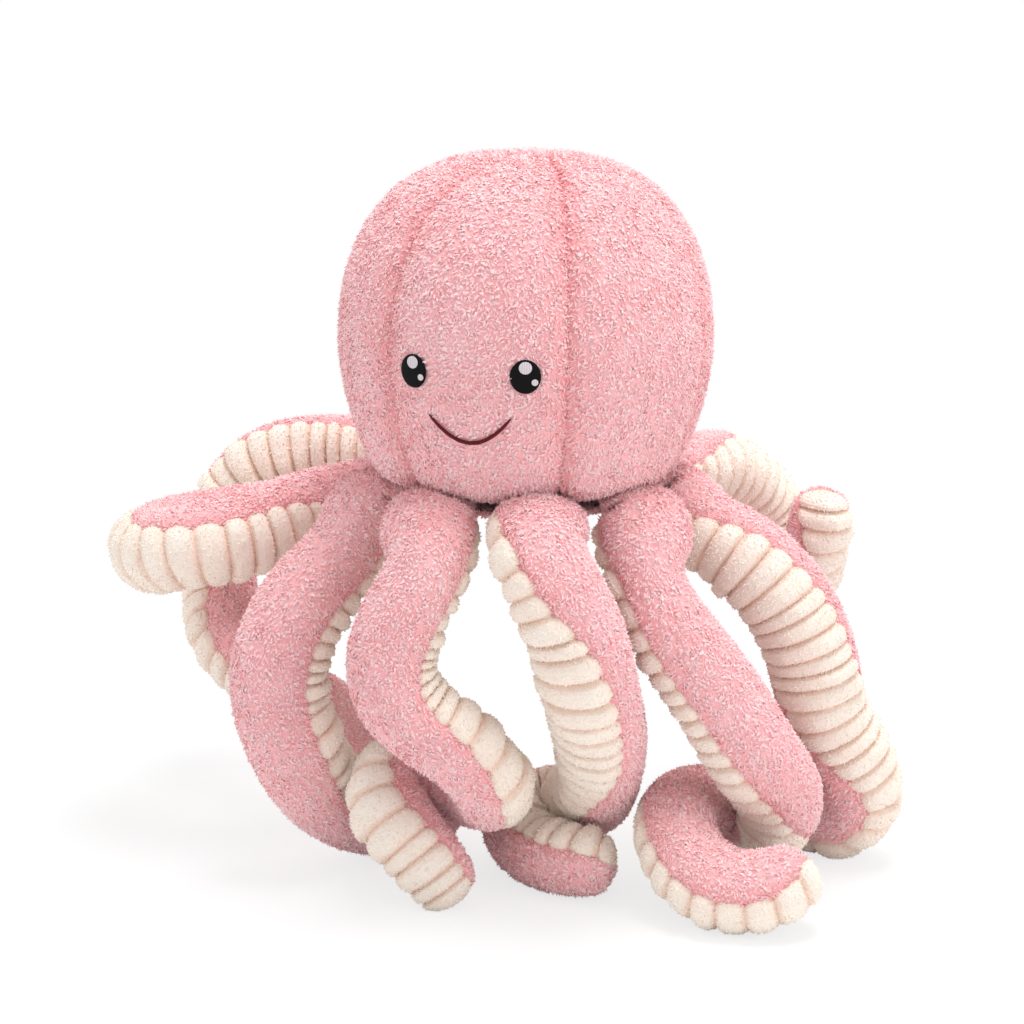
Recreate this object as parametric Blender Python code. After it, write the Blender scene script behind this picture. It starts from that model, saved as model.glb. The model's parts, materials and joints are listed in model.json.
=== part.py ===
"""Plush octopus, about 60 cm from the top of its head to an arm's tip when it is stretched out.

A stuffed head of six sewn gores stands on eight stuffed arms, each a fluffy panel sewn to a ribbed one.
Lengths are in metres, +Z is up, the face looks along -Y and the origin is on the floor under the toy.
"""
import math

import bmesh
import bpy
import numpy as np
from mathutils import Vector
from mathutils.bvhtree import BVHTree

# Driving sizes of the head
HEAD_WIDTH = 0.214
HEAD_HEIGHT = 0.191
HEAD_PROFILE_SHARES = (
    (0.67, 0.0), (0.835, 0.04), (0.905, 0.12), (0.965, 0.25), (1.0, 0.42),
    (0.965, 0.61), (0.86, 0.77), (0.69, 0.895), (0.50, 0.96), (0.28, 0.992), (0.02, 1.0),
)
GORE_COUNT = 6
GORE_COLUMNS = 4
SEAM_DIP = 0.0025
BASE_SAG = 0.006
BASE_FLAT_SHARE = 0.6

# Driving sizes of the arms
ARM_THICKNESS = 0.050
RIB_PITCH = 0.018
RIB_RISE = 0.0015
FLOOR_PRESS = 0.0005

# Cloth and the room between sewn neighbours
PANEL_THICKNESS = 0.0035
SEAM_GAP = 0.0003

# Thread work of the face
EYE_WIDTH = 0.016
EYE_HEIGHT = 0.018
EYE_SPREAD = 0.064
EYE_RISE = 0.079
GLINT_WIDTH = 0.007
SMALL_GLINT_WIDTH = 0.004
SMILE_WIDTH = 0.048
SMILE_DEPTH = 0.0155
SMILE_RISE = 0.056
SMILE_LINE = 0.0016
SMILE_END_SHARE = 0.5
SMILE_SEGMENTS = 14
GLINT_RISE_SHARE = 0.26
SMALL_GLINT_SHARES = (0.33, -0.05)
PATCH_SIDES = 12
THREAD_THICKNESS = 0.0008
THREAD_LIFT = 0.0005

# The arm panels' shares of a turn about the arm, in degrees from the middle of the ribs
PINK_OUTER_ANGLES = (72, 115.2, 158.4, 201.6, 244.8, 288)
PINK_INNER_ANGLES = (72, 144, 216, 288)
RIB_OUTER_ANGLES = (-72, -36, 0, 36, 72)
RIB_INNER_ANGLES = (-72, 0, 72)
CORE_ANGLES = (-144, -72, 0, 72, 144)

# The pinched root where an arm is sewn on: place along it, half width and half thickness, in arm thicknesses
NECK_SHARES = ((-0.07, 0.22, 0.04), (0.08, 0.32, 0.10), (0.28, 0.40, 0.22), (0.60, 0.46, 0.44))
ROOT_LOWER_SHARE = 0.07
ROOT_DROP = math.radians(27)

# The rounded tip: place before the arm's end and radius, in radii of the arm there
TIP_SHARES = ((0.30, 0.86), (0.0, 0.45))
EASE_PASSES = 14
EASE_STEP_SHARE = 0.08
EASE_HOLD_SHARE = 0.25
SQUASH_SHARE = 0.8
CURVE_READINGS = 240
END_WALL_SHARE = 0.12
HALF_GAP_SHARE = 0.6
CUT_SHARE = 0.01
SHARP_ANGLE = math.radians(50)

# The arms' routes as they show from ROUTE_TURN to the right of the face: the root's turn from the face in
# degrees and its share of an arm thickness outside the seam, then the stops. Each stop is a place (across,
# toward the viewer and up from the floor) and a thickness, both in arm thicknesses, then the way its ribs
# look.
ROUTE_TURN = math.radians(17.6)
SEAM_HEIGHT_SHARE = 4.7
ARM_ROUTES = {
    "front_left": (-22.5, 0.078, (
        ((-1.05, 1.85, 4.15), 0.88, (0.5, -0.7, -0.4)),
        ((-1.35, 1.95, 3.6), 0.96, (0.8, -0.6, -0.1)),
        ((-1.55, 1.95, 3.05), 1, (0.8, -0.55, 0.1)),
        ((-1.4, 1.95, 2.55), 1, (0.8, -0.35, 0.45)),
        ((-1, 1.95, 2.25), 0.96, (0.65, -0.2, 0.75)),
        ((-0.65, 1.95, 2), 0.96, (0.75, -0.05, 0.65)),
        ((-0.4, 1.8, 1.65), 0.92, (0.95, 0.15, 0.2)),
        ((-0.4, 1.25, 1.3), 0.88, (1, 0, 0)),
        ((-0.75, 0.75, 1.25), 0.88, (0.3, -0.9, 0)),
        ((-1.2, 0.6, 1.3), 0.88, (-0.1, -0.9, 0.1)),
        ((-1.6, 0.85, 1.45), 0.88, (-0.8, 0.3, 0.2)),
        ((-1.6, 1.25, 1.15), 0.92, (-0.7, 0.7, 0)),
        ((-1.25, 1.5, 0.8), 0.88, (-0.5, 0.85, 0.1)),
        ((-0.8, 1.6, 0.22), 0.76, (-0.2, 0.9, -0.1)),
    )),
    "left_front": (-67.5, 0.096, (
        ((-2.05, 0.35, 3.95), 0.92, (0.2, -0.4, -0.9)),
        ((-2.55, 0.65, 3.4), 1.08, (0.75, -0.4, -0.5)),
        ((-2.85, 0.75, 2.8), 1.12, (0.85, -0.45, -0.15)),
        ((-2.9, 0.75, 2.25), 1.12, (0.85, -0.45, 0.1)),
        ((-2.7, 0.7, 1.6), 1.12, (0.75, -0.35, 0.45)),
        ((-2.42, 0.4, 0.95), 1.04, (0.6, -0.2, 0.65)),
        ((-1.95, 0.05, 0.5), 0.92, (0.4, 0, 0.9)),
        ((-1.4, -0.25, 0.4), 0.88, (0.2, 0, 1)),
        ((-0.95, -0.75, 0.35), 0.72, (0.2, 0, 1)),
    )),
    "front_right": (22.5, 0.05, (
        ((0.1, 2.1, 4.4), 0.92, (-0.5, -0.1, -0.8)),
        ((0.28, 2.3, 4), 1.04, (-0.8, -0.1, -0.2)),
        ((0.55, 2.3, 3.45), 1.08, (-0.8, 0.45, 0.05)),
        ((0.7, 2.15, 2.8), 1.08, (-0.65, 0.75, 0)),
        ((0.85, 1.7, 2.1), 1.04, (-0.65, 0.75, 0)),
        ((0.85, 0.95, 1.3), 0.96, (-0.6, 0.5, 0.5)),
        ((0.75, 0.25, 0.8), 0.92, (-0.2, 0.7, 0.6)),
        ((0.4, -0.35, 0.6), 0.88, (0, 0.9, 0.4)),
        ((-0.05, -0.25, 0.55), 0.84, (0.6, 0.5, 0.6)),
        ((-0.1, 0.4, 0.45), 0.84, (0.7, -0.1, 0.7)),
        ((0.15, 0.95, 0.4), 0.84, (0.3, -0.4, 0.8)),
        ((0.55, 1.35, 0.45), 0.84, (0, -0.4, 0.9)),
        ((1, 1.45, 0.4), 0.68, (0.3, -0.2, 0.9)),
    )),
    "right_front": (67.5, 0.102, (
        ((1.3, 1.5, 4), 0.8, (-0.4, -0.1, -0.9)),
        ((1.6, 1.7, 3.35), 0.96, (-0.65, -0.3, -0.7)),
        ((2.08, 1.7, 2.7), 1.04, (-0.65, -0.3, -0.7)),
        ((2.55, 1.6, 1.95), 1.04, (-0.6, -0.25, -0.75)),
        ((2.95, 1.2, 1.3), 1, (-0.5, -0.25, -0.8)),
        ((2.9, 0.55, 0.75), 0.92, (-0.2, -0.3, -0.9)),
        ((2.5, 0.2, 0.8), 0.88, (0, -0.7, -0.7)),
        ((2, 0.65, 1.05), 0.88, (-0.6, -0.45, -0.65)),
        ((1.7, 1.5, 1.1), 0.92, (-0.7, 0, -0.75)),
        ((1.9, 2.1, 0.75), 0.96, (-0.4, 0.2, -0.9)),
        ((2.3, 2.35, 0.6), 0.96, (0, 0.3, -0.95)),
        ((2.85, 2.4, 0.7), 0.88, (0.4, 0.4, -0.8)),
        ((3.15, 2.25, 0.9), 0.72, (0.8, 0.5, -0.1)),
    )),
    "right_rear": (112.5, 0.094, (
        ((1.95, 0.1, 4.2), 0.88, (-0.2, 0.6, -0.8)),
        ((2.5, 0.35, 3.9), 1.04, (-0.3, 0.85, -0.4)),
        ((3.05, 0.5, 3.35), 1.08, (-0.3, 0.9, -0.15)),
        ((3.35, 0.5, 2.7), 1.08, (-0.2, 0.95, 0.05)),
        ((3.5, 0.4, 2.05), 1.04, (0.2, 0.9, -0.05)),
        ((3.8, 0.3, 1.45), 1, (0.8, 0.5, 0)),
        ((4.05, 0.15, 0.9), 1, (1, 0.1, -0.2)),
        ((3.8, -0.1, 0.45), 0.96, (0.6, 0.1, -0.8)),
        ((3.35, -0.5, 0.5), 0.88, (-0.1, 0.1, -1)),
        ((2.95, -0.7, 0.9), 0.84, (-0.7, 0.2, -0.6)),
        ((2.75, -0.7, 1.45), 0.76, (-0.9, 0.3, 0)),
        ((2.65, -0.65, 2), 0.6, (-0.9, 0.3, 0.1)),
    )),
    "rear_right": (157.5, 0.055, (
        ((1.95, -1.8, 4.4), 0.88, (0.5, 0.4, -0.75)),
        ((2.4, -2.3, 4.35), 0.96, (0.75, 0.6, -0.1)),
        ((2.85, -2.8, 4), 0.96, (0.8, 0.45, 0.4)),
        ((3.25, -3.1, 3.45), 0.96, (0.9, 0.3, 0.3)),
        ((3.4, -2.8, 2.95), 0.92, (0.95, 0.2, 0)),
        ((3.5, -2, 3), 0.88, (0.9, 0.1, -0.2)),
        ((3.6, -1.3, 3.7), 0.8, (0.7, 0.7, 0)),
        ((3.65, -1.25, 4.25), 0.68, (-0.1, 1, 0)),
    )),
    "left_rear": (-112.5, 0.066, (
        ((-1.8, -1.3, 4.25), 0.84, (0, -0.2, -1)),
        ((-2.35, -1.15, 4.15), 0.96, (0, 0.4, -0.9)),
        ((-2.9, -0.85, 4), 1.04, (0, 0.8, -0.6)),
        ((-3.55, -0.5, 3.85), 1.04, (0, 0.8, -0.6)),
        ((-4.15, -0.4, 3.75), 1, (-0.3, 0.8, -0.5)),
        ((-4.55, -0.95, 3.6), 1, (-1, 0.1, -0.3)),
        ((-4.45, -1.7, 3.6), 0.96, (-0.5, -0.9, -0.3)),
        ((-3.85, -1.95, 3.7), 0.88, (0, -1, -0.3)),
        ((-3.3, -2, 3.8), 0.84, (0, -1, -0.2)),
        ((-2.8, -2, 3.85), 0.72, (0, -1, -0.2)),
    )),
    "rear_left": (-157.5, 0.064, (
        ((-0.55, -2.3, 4.35), 0.88, (0, -0.3, -0.9)),
        ((-1.35, -2.75, 4.45), 0.96, (-0.1, 0.6, -0.7)),
        ((-2.25, -3, 4.45), 0.96, (0, 0.9, -0.2)),
        ((-3.05, -3.1, 4.4), 1, (0, 0.9, 0)),
        ((-3.65, -3.2, 4.05), 1, (-0.2, 0.9, 0.1)),
        ((-3.95, -3.15, 3.4), 0.96, (-0.7, 0.6, 0)),
        ((-3.95, -2.8, 2.75), 0.96, (-0.9, 0.2, -0.1)),
        ((-3.75, -2.25, 2.25), 0.96, (-0.8, 0.1, -0.6)),
        ((-3.15, -1.8, 1.9), 0.92, (-0.5, 0, -0.8)),
        ((-2.5, -1.7, 1.55), 0.88, (-0.6, 0, -0.8)),
        ((-1.95, -1.85, 1), 0.84, (-0.8, 0.1, -0.6)),
        ((-1.6, -2.1, 0.35), 0.72, (-0.8, 0.1, -0.6)),
    )),
}
STANDING_ARMS = ("front_left", "left_front", "front_right", "right_front", "right_rear", "rear_left")

# Colours and roughness
PINK_PLUSH = ((0.90, 0.47, 0.52), 0.95)
CREAM_RIB = ((0.90, 0.80, 0.67), 0.9)
BASE_CLOTH = ((0.86, 0.45, 0.50), 0.95)
WHITE_STUFFING = ((0.93, 0.93, 0.91), 1.0)
BLACK_THREAD = ((0.012, 0.010, 0.012), 0.5)
WHITE_THREAD = ((0.92, 0.88, 0.90), 0.6)
RED_THREAD = ((0.16, 0.02, 0.02), 0.7)

HALF_HEAD = HEAD_WIDTH / 2
SEAM_RADIUS = HALF_HEAD * HEAD_PROFILE_SHARES[0][0]
SEAM_HEIGHT = SEAM_HEIGHT_SHARE * ARM_THICKNESS


def clear_scene():
    for old in list(bpy.data.objects):
        bpy.data.objects.remove(old, do_unlink=True)


def make_material(name, look):
    colour, roughness = look
    material = bpy.data.materials.new(name)
    material.use_nodes = True
    shader = material.node_tree.nodes["Principled BSDF"]
    shader.inputs["Base Color"].default_value = (*colour, 1.0)
    shader.inputs["Roughness"].default_value = roughness
    shader.inputs["Metallic"].default_value = 0.0
    return material


def add_piece(name, bm, look, origin=(0.0, 0.0, 0.0)):
    """Makes one named object of a mesh drawn in world places, with its origin where asked."""
    bmesh.ops.recalc_face_normals(bm, faces=bm.faces)
    bmesh.ops.translate(bm, verts=bm.verts, vec=-Vector(origin))
    mesh = bpy.data.meshes.new(name)
    bm.to_mesh(mesh)
    bm.free()
    mesh.shade_smooth()
    mesh.set_sharp_from_angle(angle=SHARP_ANGLE)
    mesh.materials.append(make_material(name, look))
    piece = bpy.data.objects.new(name, mesh)
    piece.location = origin
    bpy.context.collection.objects.link(piece)
    return piece


def skin(bm, near, far, closed=False):
    """Joins two rows of corners with triangles whose diagonals all run the same way."""
    for k in range(len(near) if closed else len(near) - 1):
        after = (k + 1) % len(near)
        bm.faces.new((near[k], near[after], far[after]))
        bm.faces.new((near[k], far[after], far[k]))


def corners(bm, rows):
    return [[bm.verts.new(point) for point in row] for row in rows]


def loft_closed(bm, rows):
    """Skins closed rings of points in order and caps the first and the last."""
    rings = corners(bm, rows)
    for near, far in zip(rings, rings[1:]):
        skin(bm, near, far, closed=True)
    bm.faces.new(rings[0])
    bm.faces.new(rings[-1])


def close_panel(bm, outer, inner):
    """Closes a panel round its edge: its two long sides, then its two ends."""
    for side in (0, -1):
        skin(bm, [row[side] for row in outer], [row[side] for row in inner])
    for end in (0, -1):
        bm.faces.new(outer[end] + inner[end][::-1])


def loft_panel(bm, outer_rows, inner_rows):
    """Makes a closed panel from rows of points on its outside and on its inside."""
    outer = corners(bm, outer_rows)
    inner = corners(bm, inner_rows)
    for rows in (outer, inner):
        for near, far in zip(rows, rows[1:]):
            skin(bm, near, far)
    close_panel(bm, outer, inner)


def loft_ribbed_panel(bm, groove_rows, crest_rows, inner_rows):
    """Makes a closed panel whose outside swells to a crest between each groove and the next."""
    grooves = corners(bm, groove_rows)
    crests = corners(bm, crest_rows)
    inner = corners(bm, inner_rows)
    for near, crest, far in zip(grooves, crests, grooves[1:]):
        skin(bm, near[1:-1], crest)
        skin(bm, crest, far[1:-1])
        for edge, beside, top in ((0, 1, 0), (-1, -2, -1)):
            bm.faces.new((near[edge], near[beside], crest[top]))
            bm.faces.new((near[edge], crest[top], far[edge]))
            bm.faces.new((far[edge], crest[top], far[beside]))
    for near, far in zip(inner, inner[1:]):
        skin(bm, near, far)
    close_panel(bm, grooves, inner)


def cut_at_floor(bm):
    """Takes off what lies under the floor and closes the cut with a flat face."""
    geometry = list(bm.verts) + list(bm.edges) + list(bm.faces)
    cut = bmesh.ops.bisect_plane(bm, geom=geometry, dist=SEAM_GAP * CUT_SHARE, plane_co=(0, 0, 0),
                                 plane_no=(0, 0, 1), clear_inner=True)
    edges = [item for item in cut["geom_cut"] if isinstance(item, bmesh.types.BMEdge)]
    if edges:
        bmesh.ops.holes_fill(bm, edges=edges)


# Head

def head_profile(offset):
    """The head's outline as radius and height over the seam, moved inward by an offset."""
    points = [np.array((r * HALF_HEAD, h * HEAD_HEIGHT)) for r, h in HEAD_PROFILE_SHARES]
    moved = []
    for i, point in enumerate(points):
        along = points[min(i + 1, len(points) - 1)] - points[max(i - 1, 0)]
        outward = np.array((along[1], -along[0])) / np.linalg.norm(along)
        place = point - outward * offset
        moved.append((max(place[0], point[0] / 2), place[1]))
    return moved


def around(angle, radius, height):
    """A place at an angle from the face, a distance from the toy's axis and a height over the seam."""
    return Vector((math.sin(angle) * radius, -math.cos(angle) * radius, SEAM_HEIGHT + height))


def gore_row(middle, radius, height, columns):
    """One row of a gore, drawn in at its two seams."""
    half_turn = math.pi / GORE_COUNT - SEAM_GAP / 2 / radius
    row = []
    for k in range(columns + 1):
        share = 2 * k / columns - 1
        dip = SEAM_DIP * share ** 4 * min(1.0, radius / HALF_HEAD)
        row.append(around(middle + share * half_turn, radius - dip, height))
    return row


def seam_radius(outward):
    """How far the head's lower edge is from the toy's axis in one direction."""
    for k in range(GORE_COUNT):
        row = gore_row(k * math.tau / GORE_COUNT, SEAM_RADIUS, 0.0, GORE_COLUMNS)
        for start, end in zip(row, row[1:]):
            edge = (end - start).xy
            if start.xy.cross(outward) >= 0 >= end.xy.cross(outward) and start.xy @ outward > 0:
                return start.xy.cross(edge) / outward.cross(edge)
    return SEAM_RADIUS


def add_head():
    gores = []
    for k in range(GORE_COUNT):
        middle = k * math.tau / GORE_COUNT
        bm = bmesh.new()
        outer = [gore_row(middle, r, h, GORE_COLUMNS) for r, h in head_profile(0.0)]
        inner = [gore_row(middle, r, h, GORE_COLUMNS // 2) for r, h in head_profile(PANEL_THICKNESS)]
        loft_panel(bm, outer, inner)
        gores.append(add_piece("head_gore_%d" % (k + 1), bm, PINK_PLUSH))
    return gores


def add_base_panel():
    """The round panel that closes the head underneath, inside the ring of arms."""
    rim = SEAM_RADIUS * math.cos(math.pi / GORE_COUNT / GORE_COLUMNS) - SEAM_DIP
    inner_rim = rim * BASE_FLAT_SHARE
    top = -SEAM_GAP
    sides = GORE_COUNT * GORE_COLUMNS
    outline = ((inner_rim, top - BASE_SAG), (rim, top), (rim, top - PANEL_THICKNESS),
               (inner_rim, top - BASE_SAG - PANEL_THICKNESS))
    bm = bmesh.new()
    loft_closed(bm, [[around(k * math.tau / sides, radius, height) for k in range(sides)]
                     for radius, height in outline])
    add_piece("base_panel", bm, BASE_CLOTH)


def add_head_stuffing():
    """Fills the head to the gores' insides and down to the base panel."""
    sides = GORE_COUNT * 2
    profile = head_profile(PANEL_THICKNESS + SEAM_GAP)
    foot = profile[0][0] - SEAM_DIP - SEAM_GAP
    rows = [(foot * BASE_FLAT_SHARE, -BASE_SAG), (foot, 0.0)] + profile[:-1]
    bm = bmesh.new()
    loft_closed(bm, [
        [around(k * math.pi / GORE_COUNT, radius - (SEAM_DIP + SEAM_GAP) * (k % 2), height)
         for k in range(sides)]
        for radius, height in rows])
    add_piece("head_stuffing", bm, WHITE_STUFFING)


# Face

def on_head(surface, across, height, lift):
    """A place over the front gore, a distance round from the face's middle and a lift off the cloth."""
    angle = across / HALF_HEAD
    start = around(angle, HEAD_WIDTH, height)
    toward_axis = Vector((-math.sin(angle), math.cos(angle), 0.0))
    place = surface.ray_cast(start, toward_axis)[0]
    return place - toward_axis * lift


def add_thread_patch(name, surface, centre, size, lift, look, rings=2, sides=PATCH_SIDES):
    """A raised oval of thread: its back follows the cloth and its front is domed at the middle."""
    bm = bmesh.new()
    layers = []
    for top in (False, True):
        level = lift + (THREAD_THICKNESS if top else 0.0)
        middle = bm.verts.new(on_head(surface, centre[0], centre[1], level))
        loops = []
        for ring in range(1, rings + 1):
            loop = []
            for k in range(sides):
                turn = k * math.tau / sides
                x = centre[0] + size[0] / 2 * ring / rings * math.cos(turn)
                z = centre[1] + size[1] / 2 * ring / rings * math.sin(turn)
                loop.append(bm.verts.new(on_head(surface, x, z, level)))
            loops.append(loop)
        layers.append((middle, loops))
    for middle, loops in layers:
        for k in range(sides):
            after = (k + 1) % sides
            bm.faces.new((middle, loops[0][k], loops[0][after]))
            for near, far in zip(loops, loops[1:]):
                bm.faces.new((near[k], near[after], far[after], far[k]))
    back, front = (loops[-1] for _, loops in layers)
    for k in range(sides):
        after = (k + 1) % sides
        bm.faces.new((back[k], back[after], front[after], front[k]))
    add_piece(name, bm, look)


def add_smile(surface):
    bm = bmesh.new()
    rows = []
    for k in range(SMILE_SEGMENTS + 1):
        share = 2 * k / SMILE_SEGMENTS - 1
        across = share * SMILE_WIDTH / 2
        height = SMILE_RISE - SMILE_DEPTH * (1 - share ** 2)
        taper = SMILE_LINE / 2 * (1 - SMILE_END_SHARE * share ** 8)
        row = []
        for side, lift in ((-1, 0.0), (1, 0.0), (1, THREAD_THICKNESS), (-1, THREAD_THICKNESS)):
            row.append(on_head(surface, across, height + side * taper, THREAD_LIFT + lift))
        rows.append(row)
    loft_closed(bm, rows)
    add_piece("smile", bm, RED_THREAD)


def add_face(front_gore):
    surface = BVHTree.FromObject(front_gore, bpy.context.evaluated_depsgraph_get())
    over_eye = THREAD_LIFT + THREAD_THICKNESS + SEAM_GAP
    for side, place in (("right", -1), ("left", 1)):
        eye = (place * EYE_SPREAD / 2, EYE_RISE)
        add_thread_patch("eye_" + side, surface, eye, (EYE_WIDTH, EYE_HEIGHT), THREAD_LIFT, BLACK_THREAD)
        glint = (eye[0], eye[1] + EYE_HEIGHT * GLINT_RISE_SHARE)
        add_thread_patch("eye_glint_" + side, surface, glint, (GLINT_WIDTH, GLINT_WIDTH), over_eye,
                         WHITE_THREAD, rings=1, sides=10)
        small = (eye[0] + EYE_WIDTH * SMALL_GLINT_SHARES[0], eye[1] + EYE_HEIGHT * SMALL_GLINT_SHARES[1])
        add_thread_patch("eye_small_glint_" + side, surface, small, (SMALL_GLINT_WIDTH, SMALL_GLINT_WIDTH),
                         over_eye, WHITE_THREAD, rings=1, sides=8)
    add_smile(surface)


# Arms

def from_view(vector):
    """Turns across, toward and up, as the routes are written, into the model's directions."""
    across, toward, up = vector
    turn_cos = math.cos(ROUTE_TURN)
    turn_sin = math.sin(ROUTE_TURN)
    return np.array((across * turn_cos + toward * turn_sin, across * turn_sin - toward * turn_cos, up))


def unit(vector):
    return vector / np.linalg.norm(vector)


def root_frame(name):
    """The hinge's place under the seam, the way the arm leaves it and the direction it is pinched in."""
    angle = math.radians(ARM_ROUTES[name][0])
    outward = np.array((math.sin(angle), -math.cos(angle), 0.0))
    radius = seam_radius(Vector(outward[:2])) + ARM_ROUTES[name][1] * ARM_THICKNESS
    hinge = outward * radius + np.array((0.0, 0.0, SEAM_HEIGHT - ROOT_LOWER_SHARE * ARM_THICKNESS))
    along = outward * math.cos(ROOT_DROP) - np.array((0.0, 0.0, math.sin(ROOT_DROP)))
    hinge_axis = np.array((-math.cos(angle), -math.sin(angle), 0.0))
    return hinge, along, unit(np.cross(hinge_axis, along))


def read_curve(knots, places):
    """Reads a centripetal Catmull-Rom curve through rows of numbers, whose first three are a place."""
    rows = np.vstack([2 * knots[0] - knots[1], knots, 2 * knots[-1] - knots[-2]])
    steps = np.linalg.norm(np.diff(rows[:, :3], axis=0), axis=1) ** 0.5
    time = np.concatenate([[0.0], np.cumsum(steps)])
    points = []
    for now in np.linspace(time[1], time[-2], places):
        first = int(np.clip(np.searchsorted(time, now, "right") - 2, 0, len(rows) - 4))
        level = rows[first:first + 4]
        for width in (1, 2, 3):
            mixed = []
            for k in range(4 - width):
                start = time[first + (1 if width == 3 else k)]
                end = time[first + (2 if width == 3 else k + width)]
                mixed.append(((end - now) * level[k] + (now - start) * level[k + 1]) / (end - start))
            level = mixed
        points.append(level[0])
    return np.array(points)


def arm_length_steps(rows):
    """How far along its curve each row of it lies."""
    steps = np.linalg.norm(np.diff(rows[:, :3], axis=0), axis=1)
    return np.concatenate([[0.0], np.cumsum(steps)])


def read_at(rows, along, place):
    return np.array([np.interp(place, along, rows[:, k]) for k in range(rows.shape[1])])


def arm_route(name):
    """An arm's centre line in even steps: place, radius and the way the ribs look in each row."""
    hinge, leaving, pinch = root_frame(name)
    lead, lead_width = NECK_SHARES[2][:2]
    knots = [np.hstack([hinge, ARM_THICKNESS * NECK_SHARES[1][1], -pinch]),
             np.hstack([hinge + leaving * lead * ARM_THICKNESS, ARM_THICKNESS * lead_width, -pinch])]
    for place_shares, thickness_share, ribs in ARM_ROUTES[name][2]:
        knots.append(np.hstack([from_view(place_shares) * ARM_THICKNESS,
                                thickness_share * ARM_THICKNESS / 2, unit(from_view(ribs))]))
    rows = read_curve(np.array(knots), CURVE_READINGS)
    along = arm_length_steps(rows)
    count = int(round(along[-1] / (EASE_STEP_SHARE * ARM_THICKNESS)))
    rows = np.array([read_at(rows, along, place) for place in np.linspace(0.0, along[-1], count + 1)])
    hold = int(round(EASE_HOLD_SHARE / EASE_STEP_SHARE))
    for _ in range(EASE_PASSES):
        rows[hold:-1] = (rows[hold - 1:-2] + 2 * rows[hold:-1] + rows[hold + 1:]) / 4
    return rows


def ring_places(length, tip_radius):
    """Where along an arm its rings lie: the pinched root, then a groove for each rib, then the tip."""
    first = NECK_SHARES[2][0] * ARM_THICKNESS
    last = length - tip_radius
    ribs = max(2, round((last - first) / RIB_PITCH))
    places = [share[0] * ARM_THICKNESS for share in NECK_SHARES[:2]]
    places += [first + (last - first) * k / ribs for k in range(ribs + 1)]
    return places + [length - share * tip_radius for share, _ in TIP_SHARES]


class Ring:
    """One section of an arm: a centre, the way its ribs look, and how it is pinched and squashed."""

    def __init__(self, rows, along, place, root, tip_radius):
        hinge, leaving, self.pinch = root
        row = read_at(rows, along, place)
        reach = RIB_PITCH / 2
        before = read_at(rows, along, max(place - reach, 0.0))[:3]
        after = read_at(rows, along, min(place + reach, along[-1]))[:3]
        self.centre = row[:3] if place > 0 else hinge + leaving * place
        tangent = unit(after - before)
        ribs = row[4:7]
        self.ribs = unit(ribs - tangent * (ribs @ tangent))
        self.side = np.cross(tangent, self.ribs)
        neck = place / ARM_THICKNESS
        places, widths, thicknesses = zip(*NECK_SHARES)
        self.radius = row[3] if neck > places[-1] else np.interp(neck, places, widths) * ARM_THICKNESS
        self.flatness = 1.0 if neck > places[-1] else np.interp(neck, places, np.divide(thicknesses, widths))
        self.set_tip(along[-1] - place, tip_radius)
        self.set_bend(row[:3], before, after, tangent)

    def set_tip(self, left, tip_radius):
        shares, radii = zip(*((1.0, 1.0), *TIP_SHARES))
        if left < tip_radius:
            self.radius = tip_radius * np.interp(left / tip_radius, shares[::-1], radii[::-1])

    def set_bend(self, middle, before, after, tangent):
        """Finds which way the arm bends here, and squashes that side where the bend is tight."""
        bow = (before + after) / 2 - middle
        bow = bow - tangent * (bow @ tangent)
        half_chord = np.linalg.norm(after - before) / 2
        height = np.linalg.norm(bow)
        self.bend = bow / height if height > 0 else self.side
        bend_radius = (half_chord ** 2 + height ** 2) / (2 * height) if height > 0 else math.inf
        self.squash = min(1.0, SQUASH_SHARE * bend_radius / self.radius)

    def point(self, degrees, radius, toward_ribs=0.0):
        turn = math.radians(degrees)
        offset = (self.ribs * math.cos(turn) + self.side * math.sin(turn)) * radius
        offset = offset - self.pinch * (offset @ self.pinch) * (1 - self.flatness)
        inward = offset @ self.bend
        if inward > 0:
            offset = offset - self.bend * inward * (1 - self.squash)
        return self.centre + offset + self.ribs * toward_ribs

    def row(self, angles, inset=0.0, toward_ribs=0.0):
        return [self.point(degrees, self.radius - inset, toward_ribs) for degrees in angles]

    def shut_row(self, angles, toward_ribs):
        """Where the two panels meet at an arm's ends: points across the section, from edge to edge."""
        start, end = (self.point(degrees, self.radius, toward_ribs) for degrees in (angles[0], angles[-1]))
        shares = np.linspace(END_WALL_SHARE, 1 - END_WALL_SHARE, len(angles))
        return [start + (end - start) * share for share in shares]


def arm_rings(name, drop):
    """An arm's rings, with the arm lowered by a drop that eases in from its root."""
    rows = arm_route(name)
    along = arm_length_steps(rows)
    if drop:
        lowest = int(np.argmin(rows[:, 2] - rows[:, 3]))
        ramp = np.clip(along / along[lowest], 0.0, 1.0)
        rows[:, 2] -= drop * ramp ** 2 * (3 - 2 * ramp)
        along = arm_length_steps(rows)
    root = root_frame(name)
    tip_radius = rows[-1, 3]
    return [Ring(rows, along, place, root, tip_radius) for place in ring_places(along[-1], tip_radius)]


def rib_crests(rings, toward_ribs):
    """The tops of the ribs, midway between the rings of the grooves."""
    crests = []
    for near, far in zip(rings, rings[1:]):
        half_thickness = min(near.radius * near.flatness, far.radius * far.flatness)
        rise = 2 * RIB_RISE * half_thickness / (ARM_THICKNESS / 2)
        row = []
        for degrees in RIB_OUTER_ANGLES[1:-1]:
            middle = (near.point(degrees, near.radius) + far.point(degrees, far.radius)) / 2
            outward = unit(middle - (near.centre + far.centre) / 2)
            row.append(middle + outward * rise + near.ribs * toward_ribs)
        crests.append(row)
    return crests


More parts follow.
